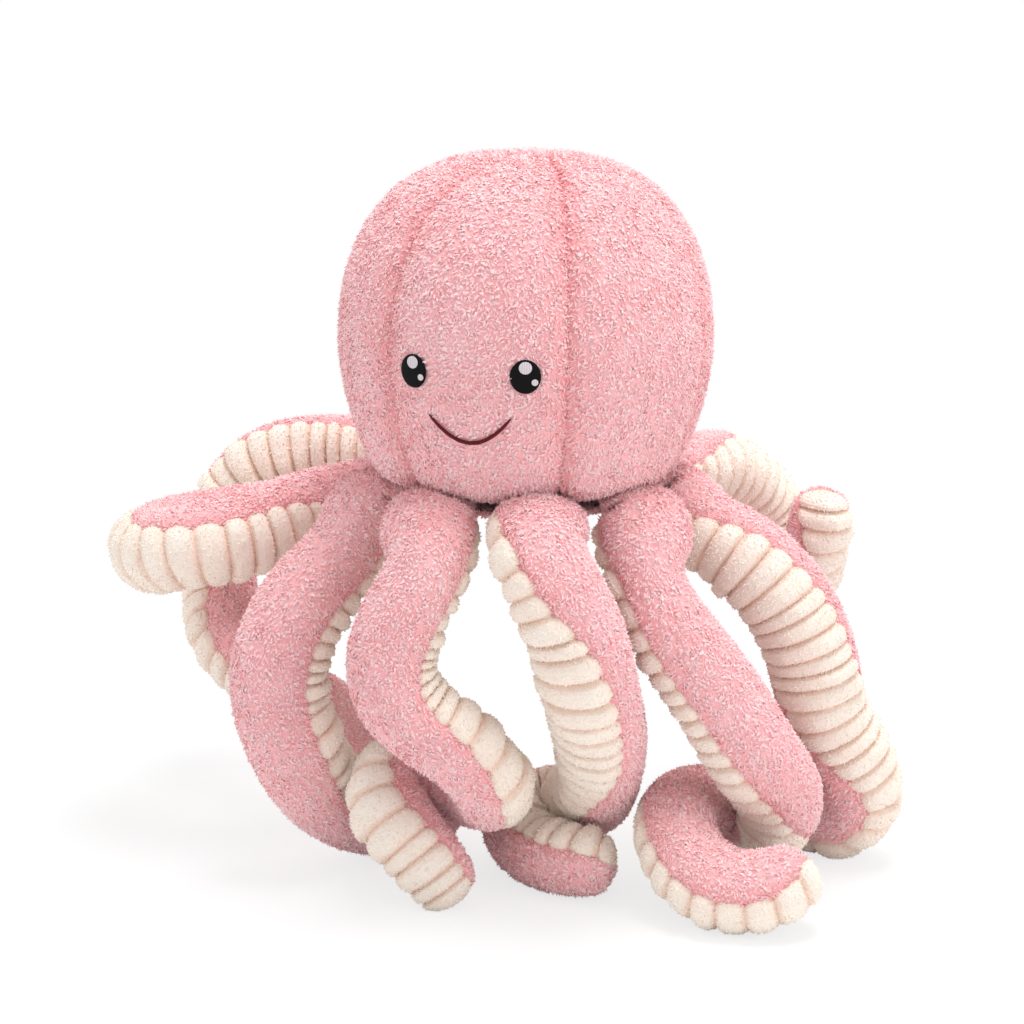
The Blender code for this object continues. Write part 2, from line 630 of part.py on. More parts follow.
def arm_shapes(name, drop):
    """The rows of points of an arm's two panels and its stuffing."""
    rings = arm_rings(name, drop)
    shut = (0, 1, len(rings) - 1)
    to_plush = -SEAM_GAP * HALF_GAP_SHARE
    to_ribs = SEAM_GAP * HALF_GAP_SHARE

    def inside(angles, shift):
        return [ring.shut_row(angles, shift) if i in shut else ring.row(angles, PANEL_THICKNESS, shift)
                for i, ring in enumerate(rings)]

    grooves = []
    for ring in rings:
        row = ring.row(RIB_OUTER_ANGLES, 0.0, to_ribs)
        row[1:-1] = ring.row(RIB_OUTER_ANGLES[1:-1], RIB_RISE * ring.flatness, to_ribs)
        grooves.append(row)
    return {
        "plush": ([ring.row(PINK_OUTER_ANGLES, 0.0, to_plush) for ring in rings],
                  inside(PINK_INNER_ANGLES, to_plush)),
        "ribs": (grooves, rib_crests(rings, to_ribs), inside(RIB_INNER_ANGLES, to_ribs)),
        "stuffing": ([ring.row(CORE_ANGLES, PANEL_THICKNESS + SEAM_GAP) for ring in rings[2:-1]],),
    }


def floor_drop(name):
    """How far an arm that stands on the floor is lowered to press its lowest side FLOOR_PRESS into it."""
    drop = 0.0
    for _ in range(3):
        shapes = arm_shapes(name, drop)
        outside = shapes["plush"][0] + shapes["ribs"][0] + shapes["ribs"][1]
        drop += min(point[2] for row in outside for point in row) + FLOOR_PRESS
    return drop


def add_arm(name):
    hinge = root_frame(name)[0]
    shapes = arm_shapes(name, floor_drop(name) if name in STANDING_ARMS else 0.0)
    root = bpy.data.objects.new("arm_%s_root" % name, None)
    root.location = hinge
    bpy.context.collection.objects.link(root)
    for part, loft, look in (("plush", loft_panel, PINK_PLUSH), ("ribs", loft_ribbed_panel, CREAM_RIB),
                             ("stuffing", loft_closed, WHITE_STUFFING)):
        bm = bmesh.new()
        loft(bm, *shapes[part])
        cut_at_floor(bm)
        piece = add_piece("arm_%s_%s" % (name, part), bm, look, hinge)
        piece.parent = root
        piece.location = (0.0, 0.0, 0.0)


# Whole toy

def centre_on_floor():
    """Moves the whole toy so that the middle of its footprint is over the origin."""
    bpy.context.view_layer.update()
    places = [piece.matrix_world @ Vector(corner) for piece in bpy.data.objects if piece.type == "MESH"
              for corner in piece.bound_box]
    for axis in (0, 1):
        middle = (min(place[axis] for place in places) + max(place[axis] for place in places)) / 2
        for piece in bpy.data.objects:
            if piece.parent is None:
                piece.location[axis] -= middle


def main():
    clear_scene()
    gores = add_head()
    add_base_panel()
    add_head_stuffing()
    add_face(gores[0])
    for name in ARM_ROUTES:
        add_arm(name)
    centre_on_floor()


main()
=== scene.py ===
"""The looks of a plush octopus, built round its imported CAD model.

The frame gives the hinges and the boxes of the solids. Every length is in metres, +Z is up and the face looks
along -Y. Each cloth panel of the CAD model is replaced by a skin of its own that carries a pile of tufts or a
row of puffed ribs.
"""

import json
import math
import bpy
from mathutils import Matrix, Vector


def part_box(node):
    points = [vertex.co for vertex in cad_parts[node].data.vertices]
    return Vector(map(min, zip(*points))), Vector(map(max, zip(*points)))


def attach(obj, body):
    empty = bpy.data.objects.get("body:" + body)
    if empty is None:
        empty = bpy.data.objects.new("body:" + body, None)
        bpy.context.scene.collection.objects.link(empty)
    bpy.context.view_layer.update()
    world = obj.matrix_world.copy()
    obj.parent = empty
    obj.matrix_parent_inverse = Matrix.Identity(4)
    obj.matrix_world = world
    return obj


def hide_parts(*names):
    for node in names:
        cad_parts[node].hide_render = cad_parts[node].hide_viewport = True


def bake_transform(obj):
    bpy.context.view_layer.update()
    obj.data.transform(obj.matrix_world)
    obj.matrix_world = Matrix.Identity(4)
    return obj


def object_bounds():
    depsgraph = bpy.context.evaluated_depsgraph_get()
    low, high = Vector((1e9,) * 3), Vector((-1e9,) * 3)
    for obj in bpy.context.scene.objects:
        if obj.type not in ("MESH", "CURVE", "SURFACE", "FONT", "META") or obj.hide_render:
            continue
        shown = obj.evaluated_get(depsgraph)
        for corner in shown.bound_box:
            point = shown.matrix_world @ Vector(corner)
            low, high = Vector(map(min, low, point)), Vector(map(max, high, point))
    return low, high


bl_info = {
    "name": "Plush Octopus",
    "version": (1, 0, 0),
    "blender": (4, 5, 0),
    "location": "View3D > Sidebar > Octopus",
    "description": "Builds the plush skins, stitched face and studio of a stuffed octopus",
    "category": "Object",
}

import bpy
import numpy as np
from bpy.props import FloatProperty, FloatVectorProperty, PointerProperty
from mathutils import Matrix, Vector

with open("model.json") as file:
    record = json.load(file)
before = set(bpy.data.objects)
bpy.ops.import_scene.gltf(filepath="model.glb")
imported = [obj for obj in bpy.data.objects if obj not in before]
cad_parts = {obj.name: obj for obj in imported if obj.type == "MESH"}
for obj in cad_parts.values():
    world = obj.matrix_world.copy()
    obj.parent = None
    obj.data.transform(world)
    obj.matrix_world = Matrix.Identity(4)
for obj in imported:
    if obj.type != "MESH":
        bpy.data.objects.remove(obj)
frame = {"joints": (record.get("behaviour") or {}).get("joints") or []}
CAD_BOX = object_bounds()

# The head's outline: shares of half its width and of its height, from the seam over the arms to the top
HEAD_PROFILE_SHARES = (
    (0.67, 0.0), (0.82, 0.04), (0.895, 0.12), (0.97, 0.25), (1.015, 0.42),
    (0.985, 0.61), (0.88, 0.77), (0.70, 0.895), (0.50, 0.96), (0.28, 0.992), (0.02, 1.0),
)
GORE_COUNT = 6

# The arms: the thickness of a full one, and half the turn that its ribs take up round it, in degrees
ARM_THICKNESS = 0.050
RIB_EDGE = 72.0

# An arm's root in arm thicknesses: stops of its pinched neck (place along it, half width and half thickness),
# the way over which the neck gives way to the route, and a soft swelling with its place and reach
NECK_SHARES = ((-0.16, 0.38, 0.16), (0.08, 0.46, 0.30), (0.28, 0.49, 0.42), (0.60, 0.49, 0.48))
NECK_FADE = 0.5
ROOT_FLARE = 0.16
ROOT_FLARE_PLACE = 0.35
ROOT_FLARE_REACH = 0.55

# An arm leaves the head at a slope. Its route starts with a knot at the hinge and one at the end of a short
# lead (distance and thickness). ROOT_TURNS says how far the ribs have turned by those two knots, ROOT_BEND
# at which two distances from the hinge the root's two points lie.
ROOT_DROP = math.radians(27)
NECK_KNOT_SHARE = 0.32
LEAD_SHARES = (0.28, 0.40)
ROOT_TURNS = {"front_right": (0.3, 0.8)}
ROOT_BEND = (-0.006, 0.016)

# An arm's route: the turn from the face at which it is written, how it is read and eased, how far round a
# place its bend is measured, how far the inner side of a bend is squashed, and how its tip is rounded
ROUTE_TURN = math.radians(17.6)
CURVE_READINGS = 240
EASE_PASSES = 14
EASE_STEP_SHARE = 0.08
EASE_HOLD_SHARE = 0.25
BEND_REACH = 0.009
SQUASH_SHARE = 0.8
TIP_OVERRUN = 0.002
TIP_CLOSING = 0.98
TIP_ROUND = 2.6

# The head's skin: readings of its outline, each gore's rows and columns and how the columns crowd toward the
# seams, the seams' depth and narrowness, where they grow shallow near the top, and how they swing round there
PROFILE_READINGS = 160
HEAD_REACH = 0.006
GORE_ROWS = 80
GORE_COLUMNS = 33
GORE_CROWDING = 1.3
SEAM_DIP = 0.0065
SEAM_SHARPNESS = 6.0
SEAM_FADE = 0.12
SEAM_TOP_SHARE = 0.2
SEAM_TWIST = 0.55
SEAM_TWIST_POWER = 5.5

# Cloth: how deep its backing lies under the pile, its wall, the room kept over the floor, and the names of the
# group of its inner side and of its map
SKIN_SINK = 0.0012
SKIN_WALL = 0.0016
FLOOR_ROOM = 0.0005
INNER_WALL = "inner wall"
BAKE_MAP = "OFBake"

# The tufts' shapes (lean, curl and steps of reach and width left), how deep one is sewn in, how thickly they
# are planted in the squares of their spacing, and their least and greatest size
TUFT_SHAPES = (
    (1.15, 0.0, ()), (0.95, 0.0, ()), (0.75, 0.0, ()), (0.55, 0.9, ((0.5, 0.9),)),
)
FUZZ_SHAPES = ((0.6, 0.0, ()), (1.0, 0.0, ()))
TUFT_SINK_SHARE = 0.12
PLANTING = 1.6
TUFT_SCALES = (0.75, 1.2)

# How the tufts lie: in clumps that draw them together, in eddies of the nap, and each a little astray
CLUMP_SIZE = 0.0055
CLUMP_PULL = 500.0
EDDY_SIZE = 0.014
EDDY_TURN = 8.0
STRAY_TURN = 0.9
STRAY_LEAN = 0.35

# How the pile's shade varies: a plain level for the cloth and a darker one round the base panel's rim, painted
# shade darkest in the seams, random patches, painted shade in the partings between clumps, random single tufts
# and the strands in a tuft, and painted shade from the tufts' deep roots to their pale tips, which are partly
# painted light, where the ribs' fuzz has shares of its own
CLOTH_SHADE_LEVEL = 0.5
FRINGE_SHADE_LEVEL = 0.4
SEAM_SHADE = 0.9
PATCH_SIZE = 0.03
PATCH_SHADE = 0.7
CLUMP_SHADE = 0.5
TUFT_SHADE = 0.25
STRANDS = 14.0
STRAND_SHADE = 0.8
STRAND_CHANGE = 40.0
ROOT_SHARE = 0.4
SHADE_SHARE = 0.5
TIP_SPREAD = 0.8
FUZZ_TIPS = 0.3
FUZZ_STRANDS = 0.7

# How far past its stitching the pile is trimmed away
EYE_TRIM = -0.0009
SMILE_TRIM = 0.0003

# The arms' plush: the length of a row, the columns, and how far its edges are turned under and sunk
ARM_ROW = 0.004
ARM_COLUMNS = 29
EDGE_TUCK = 3.0
EDGE_DIP = 0.0022

# The ribs: where the first one starts, in arm thicknesses, how uneven and dented they are, how far the cloth
# before the first one swells, the rows and columns of each, the powers of its round crest, the depth of the
# creases, how its ends are rounded and turned under, and how much lighter its crest is painted, as painted
# light on the crests and painted shade in the creases
RIBS_START_SHARE = 0.12
RIB_UNEVEN = 0.25
RIB_DENTS = 0.3
FIRST_SWELL = 0.3
RIB_ROWS = 6
RIB_COLUMNS = 23
CREST_POWERS = (2.4, 0.6)
CREASE_DEPTH = 0.0024
RIB_END = (-5, 9)
RIB_END_SHARPNESS = 8
RIB_TUCK = 9.0
RIB_EDGE_DIP = 0.003
CREST_SHADE = 0.8

# The stitched face, as on the head: distances round from the middle and up from the seam
EYE_SIZE = (0.0168, 0.0188)
EYE_SPREAD = 0.064
EYE_RISE = 0.079
GLINT_SIZE = (0.0070, 0.0068)
SMALL_GLINT_SIZE = (0.0036, 0.0036)
GLINT_RISE_SHARE = 0.26
SMALL_GLINT_SHARES = (0.30, -0.16)
SMILE_WIDTH = 0.049
SMILE_DEPTH = 0.0155
SMILE_RISE = 0.056
SMILE_LINE = 0.0022
STITCH_LIFT = 0.0003
STITCH_SWELL = 0.0010

# The round panel beneath the head: its sag, its wall, the rings that carry the sag and where its pile starts
BASE_SAG = 0.006
BASE_WALL = 0.0022
BASE_RINGS = (0.08, 0.16, 0.2, 0.2)
BASE_PILE_SHARE = 0.7

# The fillings: how far inside the cloth they lie, the head's rows, and the arms' columns and row length
FILLING_INSET = 0.0048
FILLING_ROWS = 24
FILLING_COLUMNS = 17
FILLING_ROW = 0.01

# The studio: the camera's turn from the face, its dip, its distance from the head's middle and the head's
# place off the middle of the picture, then the lamps (place, size across and share of the lamp power)
VIEW_TURN = ROUTE_TURN
VIEW_DIP = math.radians(13)
VIEW_DISTANCE = 1.482
VIEW_SHIFT = (0.0081, 0.1059)
HEAD_AIM = 0.088
LAMP_AIM = 0.2
LAMPS = (
    ("top_lamp", (0.35, -0.1, 2.3), 1.0, 1.9),
    ("right_lamp", (1.8, -0.7, 1.1), 1.2, 0.45),
    ("left_lamp", (-1.8, -0.9, 1.1), 1.2, 0.3),
    ("back_lamp", (-0.1, 1.5, 2.0), 1.2, 0.7),
)

# The floor shows this share of plain white near the toy, then more with every metre away from it
FLOOR_GLOW = 0.75
GLOW_START = 0.55
GLOW_RISE = 0.5

# The arms' routes as they show from ROUTE_TURN to the right of the face: the root's turn from the face in
# degrees, then the stops. Each stop is a place (across, toward the viewer and up from the floor) and a
# thickness, both in arm thicknesses, then the way its ribs look.
ARM_ROUTES = {
    "front_left": (-22.5, (
        ((-1.05, 1.85, 4.15), 0.88, (0.5, -0.7, -0.4)),
        ((-1.35, 1.95, 3.6), 0.96, (0.8, -0.6, -0.1)),
        ((-1.55, 1.95, 3.05), 1, (0.8, -0.55, 0.1)),
        ((-1.4, 1.95, 2.55), 1, (0.8, -0.35, 0.45)),
        ((-1, 1.95, 2.25), 0.96, (0.65, -0.2, 0.75)),
        ((-0.65, 1.95, 2), 0.96, (0.75, -0.05, 0.65)),
        ((-0.4, 1.8, 1.65), 0.92, (0.95, 0.15, 0.2)),
        ((-0.4, 1.25, 1.3), 0.88, (1, 0, 0)),
        ((-0.75, 0.75, 1.25), 0.88, (0.3, -0.9, 0)),
        ((-1.2, 0.6, 1.3), 0.88, (-0.1, -0.9, 0.1)),
        ((-1.6, 0.85, 1.45), 0.88, (-0.8, 0.3, 0.2)),
        ((-1.6, 1.25, 1.15), 0.92, (-0.7, 0.7, 0)),
        ((-1.25, 1.5, 0.8), 0.88, (-0.5, 0.85, 0.1)),
        ((-0.8, 1.6, 0.22), 0.76, (-0.2, 0.9, -0.1)),
    )),
    "left_front": (-67.5, (
        ((-2.05, 0.35, 3.95), 0.92, (0.2, -0.4, -0.9)),
        ((-2.55, 0.65, 3.4), 1.08, (0.75, -0.4, -0.5)),
        ((-2.85, 0.75, 2.8), 1.12, (0.85, -0.45, -0.15)),
        ((-2.9, 0.75, 2.25), 1.12, (0.85, -0.45, 0.1)),
        ((-2.7, 0.7, 1.6), 1.12, (0.75, -0.35, 0.45)),
        ((-2.42, 0.4, 0.95), 1.04, (0.6, -0.2, 0.65)),
        ((-1.95, 0.05, 0.5), 0.92, (0.4, 0, 0.9)),
        ((-1.4, -0.25, 0.4), 0.88, (0.2, 0, 1)),
        ((-0.95, -0.75, 0.35), 0.72, (0.2, 0, 1)),
    )),
    "front_right": (22.5, (
        ((0.1, 2.1, 4.4), 0.92, (-0.7, -0.1, -0.5)),
        ((0.28, 2.3, 4), 1.04, (-0.8, -0.1, -0.2)),
        ((0.55, 2.3, 3.45), 1.08, (-0.8, 0.45, 0.05)),
        ((0.7, 2.15, 2.8), 1.08, (-0.65, 0.75, 0)),
        ((0.85, 1.7, 2.1), 1.04, (-0.65, 0.75, 0)),
        ((0.85, 0.95, 1.3), 0.96, (-0.6, 0.5, 0.5)),
        ((0.75, 0.25, 0.8), 0.92, (-0.2, 0.7, 0.6)),
        ((0.4, -0.35, 0.6), 0.88, (0, 0.9, 0.4)),
        ((-0.05, -0.25, 0.55), 0.84, (0.6, 0.5, 0.6)),
        ((-0.1, 0.4, 0.45), 0.84, (0.7, -0.1, 0.7)),
        ((0.15, 0.95, 0.4), 0.84, (0.3, -0.4, 0.8)),
        ((0.55, 1.35, 0.45), 0.84, (0, -0.4, 0.9)),
        ((1, 1.45, 0.4), 0.68, (0.3, -0.2, 0.9)),
    )),
    "right_front": (67.5, (
        ((1.3, 1.5, 4), 0.8, (-0.4, -0.1, -0.9)),
        ((1.6, 1.7, 3.35), 0.96, (-0.65, -0.3, -0.7)),
        ((2.08, 1.7, 2.7), 1.04, (-0.65, -0.3, -0.7)),
        ((2.55, 1.6, 1.95), 1.04, (-0.6, -0.25, -0.75)),
        ((2.95, 1.2, 1.3), 1, (-0.5, -0.25, -0.8)),
        ((2.9, 0.55, 0.75), 0.92, (-0.2, -0.3, -0.9)),
        ((2.5, 0.2, 0.8), 0.88, (0, -0.7, -0.7)),
        ((2, 0.65, 1.05), 0.88, (-0.6, -0.45, -0.65)),
        ((1.7, 1.5, 1.1), 0.92, (-0.7, 0, -0.75)),
        ((1.9, 2.1, 0.75), 0.96, (-0.4, 0.2, -0.9)),
        ((2.3, 2.35, 0.6), 0.96, (0, 0.3, -0.95)),
        ((2.85, 2.4, 0.7), 0.88, (0.4, 0.4, -0.8)),
        ((3.15, 2.25, 0.9), 0.72, (0.8, 0.5, -0.1)),
    )),
    "right_rear": (112.5, (
        ((1.95, 0.1, 4.2), 0.88, (-0.2, 0.6, -0.8)),
        ((2.5, 0.35, 3.9), 1.04, (-0.3, 0.85, -0.4)),
        ((3.05, 0.5, 3.35), 1.08, (-0.3, 0.9, -0.15)),
        ((3.35, 0.5, 2.7), 1.08, (-0.2, 0.95, 0.05)),
        ((3.5, 0.4, 2.05), 1.04, (0.2, 0.9, -0.05)),
        ((3.8, 0.3, 1.45), 1, (0.8, 0.5, 0)),
        ((4.05, 0.15, 0.9), 1, (1, 0.1, -0.2)),
        ((3.8, -0.1, 0.45), 0.96, (0.6, 0.1, -0.8)),
        ((3.35, -0.5, 0.5), 0.88, (-0.1, 0.1, -1)),
        ((2.95, -0.7, 0.9), 0.84, (-0.7, 0.2, -0.6)),
        ((2.75, -0.7, 1.45), 0.76, (-0.9, 0.3, 0)),
        ((2.65, -0.65, 2), 0.6, (-0.9, 0.3, 0.1)),
    )),
    "rear_right": (157.5, (
        ((1.95, -1.8, 4.4), 0.88, (0.5, 0.4, -0.75)),
        ((2.4, -2.3, 4.35), 0.96, (0.75, 0.6, -0.1)),
        ((2.85, -2.8, 4), 0.96, (0.8, 0.45, 0.4)),
        ((3.25, -3.1, 3.45), 0.96, (0.9, 0.3, 0.3)),
        ((3.4, -2.8, 2.95), 0.92, (0.95, 0.2, 0)),
        ((3.5, -2, 3), 0.88, (0.9, 0.1, -0.2)),
        ((3.6, -1.3, 3.7), 0.8, (0.7, 0.7, 0)),
        ((3.65, -1.25, 4.25), 0.68, (-0.1, 1, 0)),
    )),
    "left_rear": (-112.5, (
        ((-1.8, -1.3, 4.25), 0.84, (0, -0.2, -1)),
        ((-2.35, -1.15, 4.15), 0.96, (0, 0.4, -0.9)),
        ((-2.9, -0.85, 4), 1.04, (0, 0.8, -0.6)),
        ((-3.55, -0.5, 3.85), 1.04, (0, 0.8, -0.6)),
        ((-4.15, -0.4, 3.75), 1, (-0.3, 0.8, -0.5)),
        ((-4.55, -0.95, 3.6), 1, (-1, 0.1, -0.3)),
        ((-4.45, -1.7, 3.6), 0.96, (-0.5, -0.9, -0.3)),
        ((-3.85, -1.95, 3.7), 0.88, (0, -1, -0.3)),
        ((-3.3, -2, 3.8), 0.84, (0, -1, -0.2)),
        ((-2.8, -2, 3.85), 0.72, (0, -1, -0.2)),
    )),
    "rear_left": (-157.5, (
        ((-0.55, -2.3, 4.35), 0.88, (0, -0.3, -0.9)),
        ((-1.35, -2.75, 4.45), 0.96, (-0.1, 0.6, -0.7)),
        ((-2.25, -3, 4.45), 0.96, (0, 0.9, -0.2)),
        ((-3.05, -3.1, 4.4), 1, (0, 0.9, 0)),
        ((-3.65, -3.2, 4.05), 1, (-0.2, 0.9, 0.1)),
        ((-3.95, -3.15, 3.4), 0.96, (-0.7, 0.6, 0)),
        ((-3.95, -2.8, 2.75), 0.96, (-0.9, 0.2, -0.1)),
        ((-3.75, -2.25, 2.25), 0.96, (-0.8, 0.1, -0.6)),
        ((-3.15, -1.8, 1.9), 0.92, (-0.5, 0, -0.8)),
        ((-2.5, -1.7, 1.55), 0.88, (-0.6, 0, -0.8)),
        ((-1.95, -1.85, 1), 0.84, (-0.8, 0.1, -0.6)),
        ((-1.6, -2.1, 0.35), 0.72, (-0.8, 0.1, -0.6)),
    )),
}

# How far each arm's lowest coil is let down to press on the floor
FLOOR_DROPS = {
    "front_left": 0.006224, "left_front": -0.000604, "front_right": 0.000102, "right_front": 0.007363,
    "right_rear": 0.000729, "rear_right": 0.0, "left_rear": 0.0, "rear_left": 0.013482,
}


# What a user would change

class PlushSettings(bpy.types.PropertyGroup):
    # The pile is painted from a deep pink at its roots, which is painted shade down between the tufts, to a
    # pale pink at its tips, partly the plush's own colour and partly painted light.
    tip_colour: FloatVectorProperty(
        name="Tip colour", description="Colour of the pile's tips", subtype="COLOR", size=3,
        default=(0.97, 0.725, 0.74), min=0.0, max=1.0)
    shaded_root_colour: FloatVectorProperty(
        name="Root colour", description="Colour down between the tufts", subtype="COLOR", size=3,
        default=(0.89, 0.34, 0.36), min=0.0, max=1.0)
    pile: FloatProperty(
        name="Pile", description="Length of a tuft", default=0.0031, min=0.001, max=0.02, unit="LENGTH")
    tuft_width: FloatProperty(
        name="Tuft width", description="Width of a tuft at its root", default=0.0020, min=0.0002,
        max=0.005, unit="LENGTH")
    spacing: FloatProperty(
        name="Spacing", description="Least distance between two tufts", default=0.0010, min=0.0005,
        max=0.01, unit="LENGTH")


class RibSettings(bpy.types.PropertyGroup):
    crest_colour: FloatVectorProperty(
        name="Crest colour", description="Colour of the ribbed cloth", subtype="COLOR", size=3,
        default=(0.945, 0.88, 0.80), min=0.0, max=1.0)
    # The crease colour is painted shade: darker down between the ribs.
    shaded_crease_colour: FloatVectorProperty(
        name="Crease colour", description="Colour down between the ribs", subtype="COLOR", size=3,
        default=(0.88, 0.67, 0.56), min=0.0, max=1.0)
    pitch: FloatProperty(
        name="Pitch", description="Distance from rib to rib", default=0.0118, min=0.004, max=0.04,
        unit="LENGTH")
    puff: FloatProperty(
        name="Puff", description="How far a rib swells out of its creases", default=0.0038, min=0.0,
        max=0.01, unit="LENGTH")
    pile: FloatProperty(
        name="Pile", description="Length of a tuft of the ribs' fuzz", default=0.0016, min=0.0005, max=0.02,
        unit="LENGTH")
    tuft_width: FloatProperty(
        name="Tuft width", description="Width of a tuft of fuzz at its root", default=0.0016, min=0.0002,
        max=0.005, unit="LENGTH")
    spacing: FloatProperty(
        name="Spacing", description="Least distance between two tufts of fuzz", default=0.0014, min=0.0005,
        max=0.01, unit="LENGTH")


class FaceSettings(bpy.types.PropertyGroup):
    thread_colour: FloatVectorProperty(
        name="Eye colour", description="Colour of the eyes' thread", subtype="COLOR", size=3,
        default=(0.004, 0.003, 0.004), min=0.0, max=1.0)
    glint_colour: FloatVectorProperty(
        name="Highlight colour", description="Colour of the highlights' thread", subtype="COLOR", size=3,
        default=(0.74, 0.68, 0.72), min=0.0, max=1.0)
    smile_colour: FloatVectorProperty(
        name="Smile colour", description="Colour of the smile's thread", subtype="COLOR", size=3,
        default=(0.13, 0.012, 0.016), min=0.0, max=1.0)


class StageSettings(bpy.types.PropertyGroup):
    lamp_power: FloatProperty(
        name="Lamp power", description="Power of the main soft lamp", default=15.8, min=0.0, max=500.0,
        unit="POWER")
    sky: FloatProperty(
        name="Sky", description="Strength of the plain light from all round", default=0.64, min=0.0, max=5.0)


# The arms' shapes

def unit(vectors):
    return vectors / np.linalg.norm(vectors, axis=-1, keepdims=True)


def from_view(vector):
    """Turns a way across, toward and up, as the routes are written, into the model's directions."""
    across, toward, up = vector
    turn_cos = math.cos(ROUTE_TURN)
    turn_sin = math.sin(ROUTE_TURN)
    return np.array((across * turn_cos + toward * turn_sin, across * turn_sin - toward * turn_cos, up))


def toy_axis():
    """Where the toy's own axis meets the floor: under the middle of the round panel beneath the head."""
    low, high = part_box("base_panel")
    middle = (low + high) / 2
    return np.array((middle.x, middle.y, 0.0))


def read_curve(knots, places):
    """Reads a centripetal Catmull-Rom curve through rows of numbers, whose first three are a place."""
    rows = np.vstack([2 * knots[0] - knots[1], knots, 2 * knots[-1] - knots[-2]])
    steps = np.linalg.norm(np.diff(rows[:, :3], axis=0), axis=1) ** 0.5
    time = np.concatenate([[0.0], np.cumsum(steps)])
    points = []
    for now in np.linspace(time[1], time[-2], places):
        first = int(np.clip(np.searchsorted(time, now, "right") - 2, 0, len(rows) - 4))
        level = rows[first:first + 4]
        for width in (1, 2, 3):
            mixed = []
            for k in range(4 - width):
                start = time[first + (1 if width == 3 else k)]
                end = time[first + (2 if width == 3 else k + width)]
                mixed.append(((end - now) * level[k] + (now - start) * level[k + 1]) / (end - start))
            level = mixed
        points.append(level[0])
    return np.array(points)


def length_steps(rows):
    """How far along its curve each row of it lies."""
    return np.concatenate([[0.0], np.cumsum(np.linalg.norm(np.diff(rows[:, :3], axis=0), axis=1))])


def read_at(rows, along, places):
    return np.stack([np.interp(places, along, rows[:, k]) for k in range(rows.shape[1])], axis=-1)


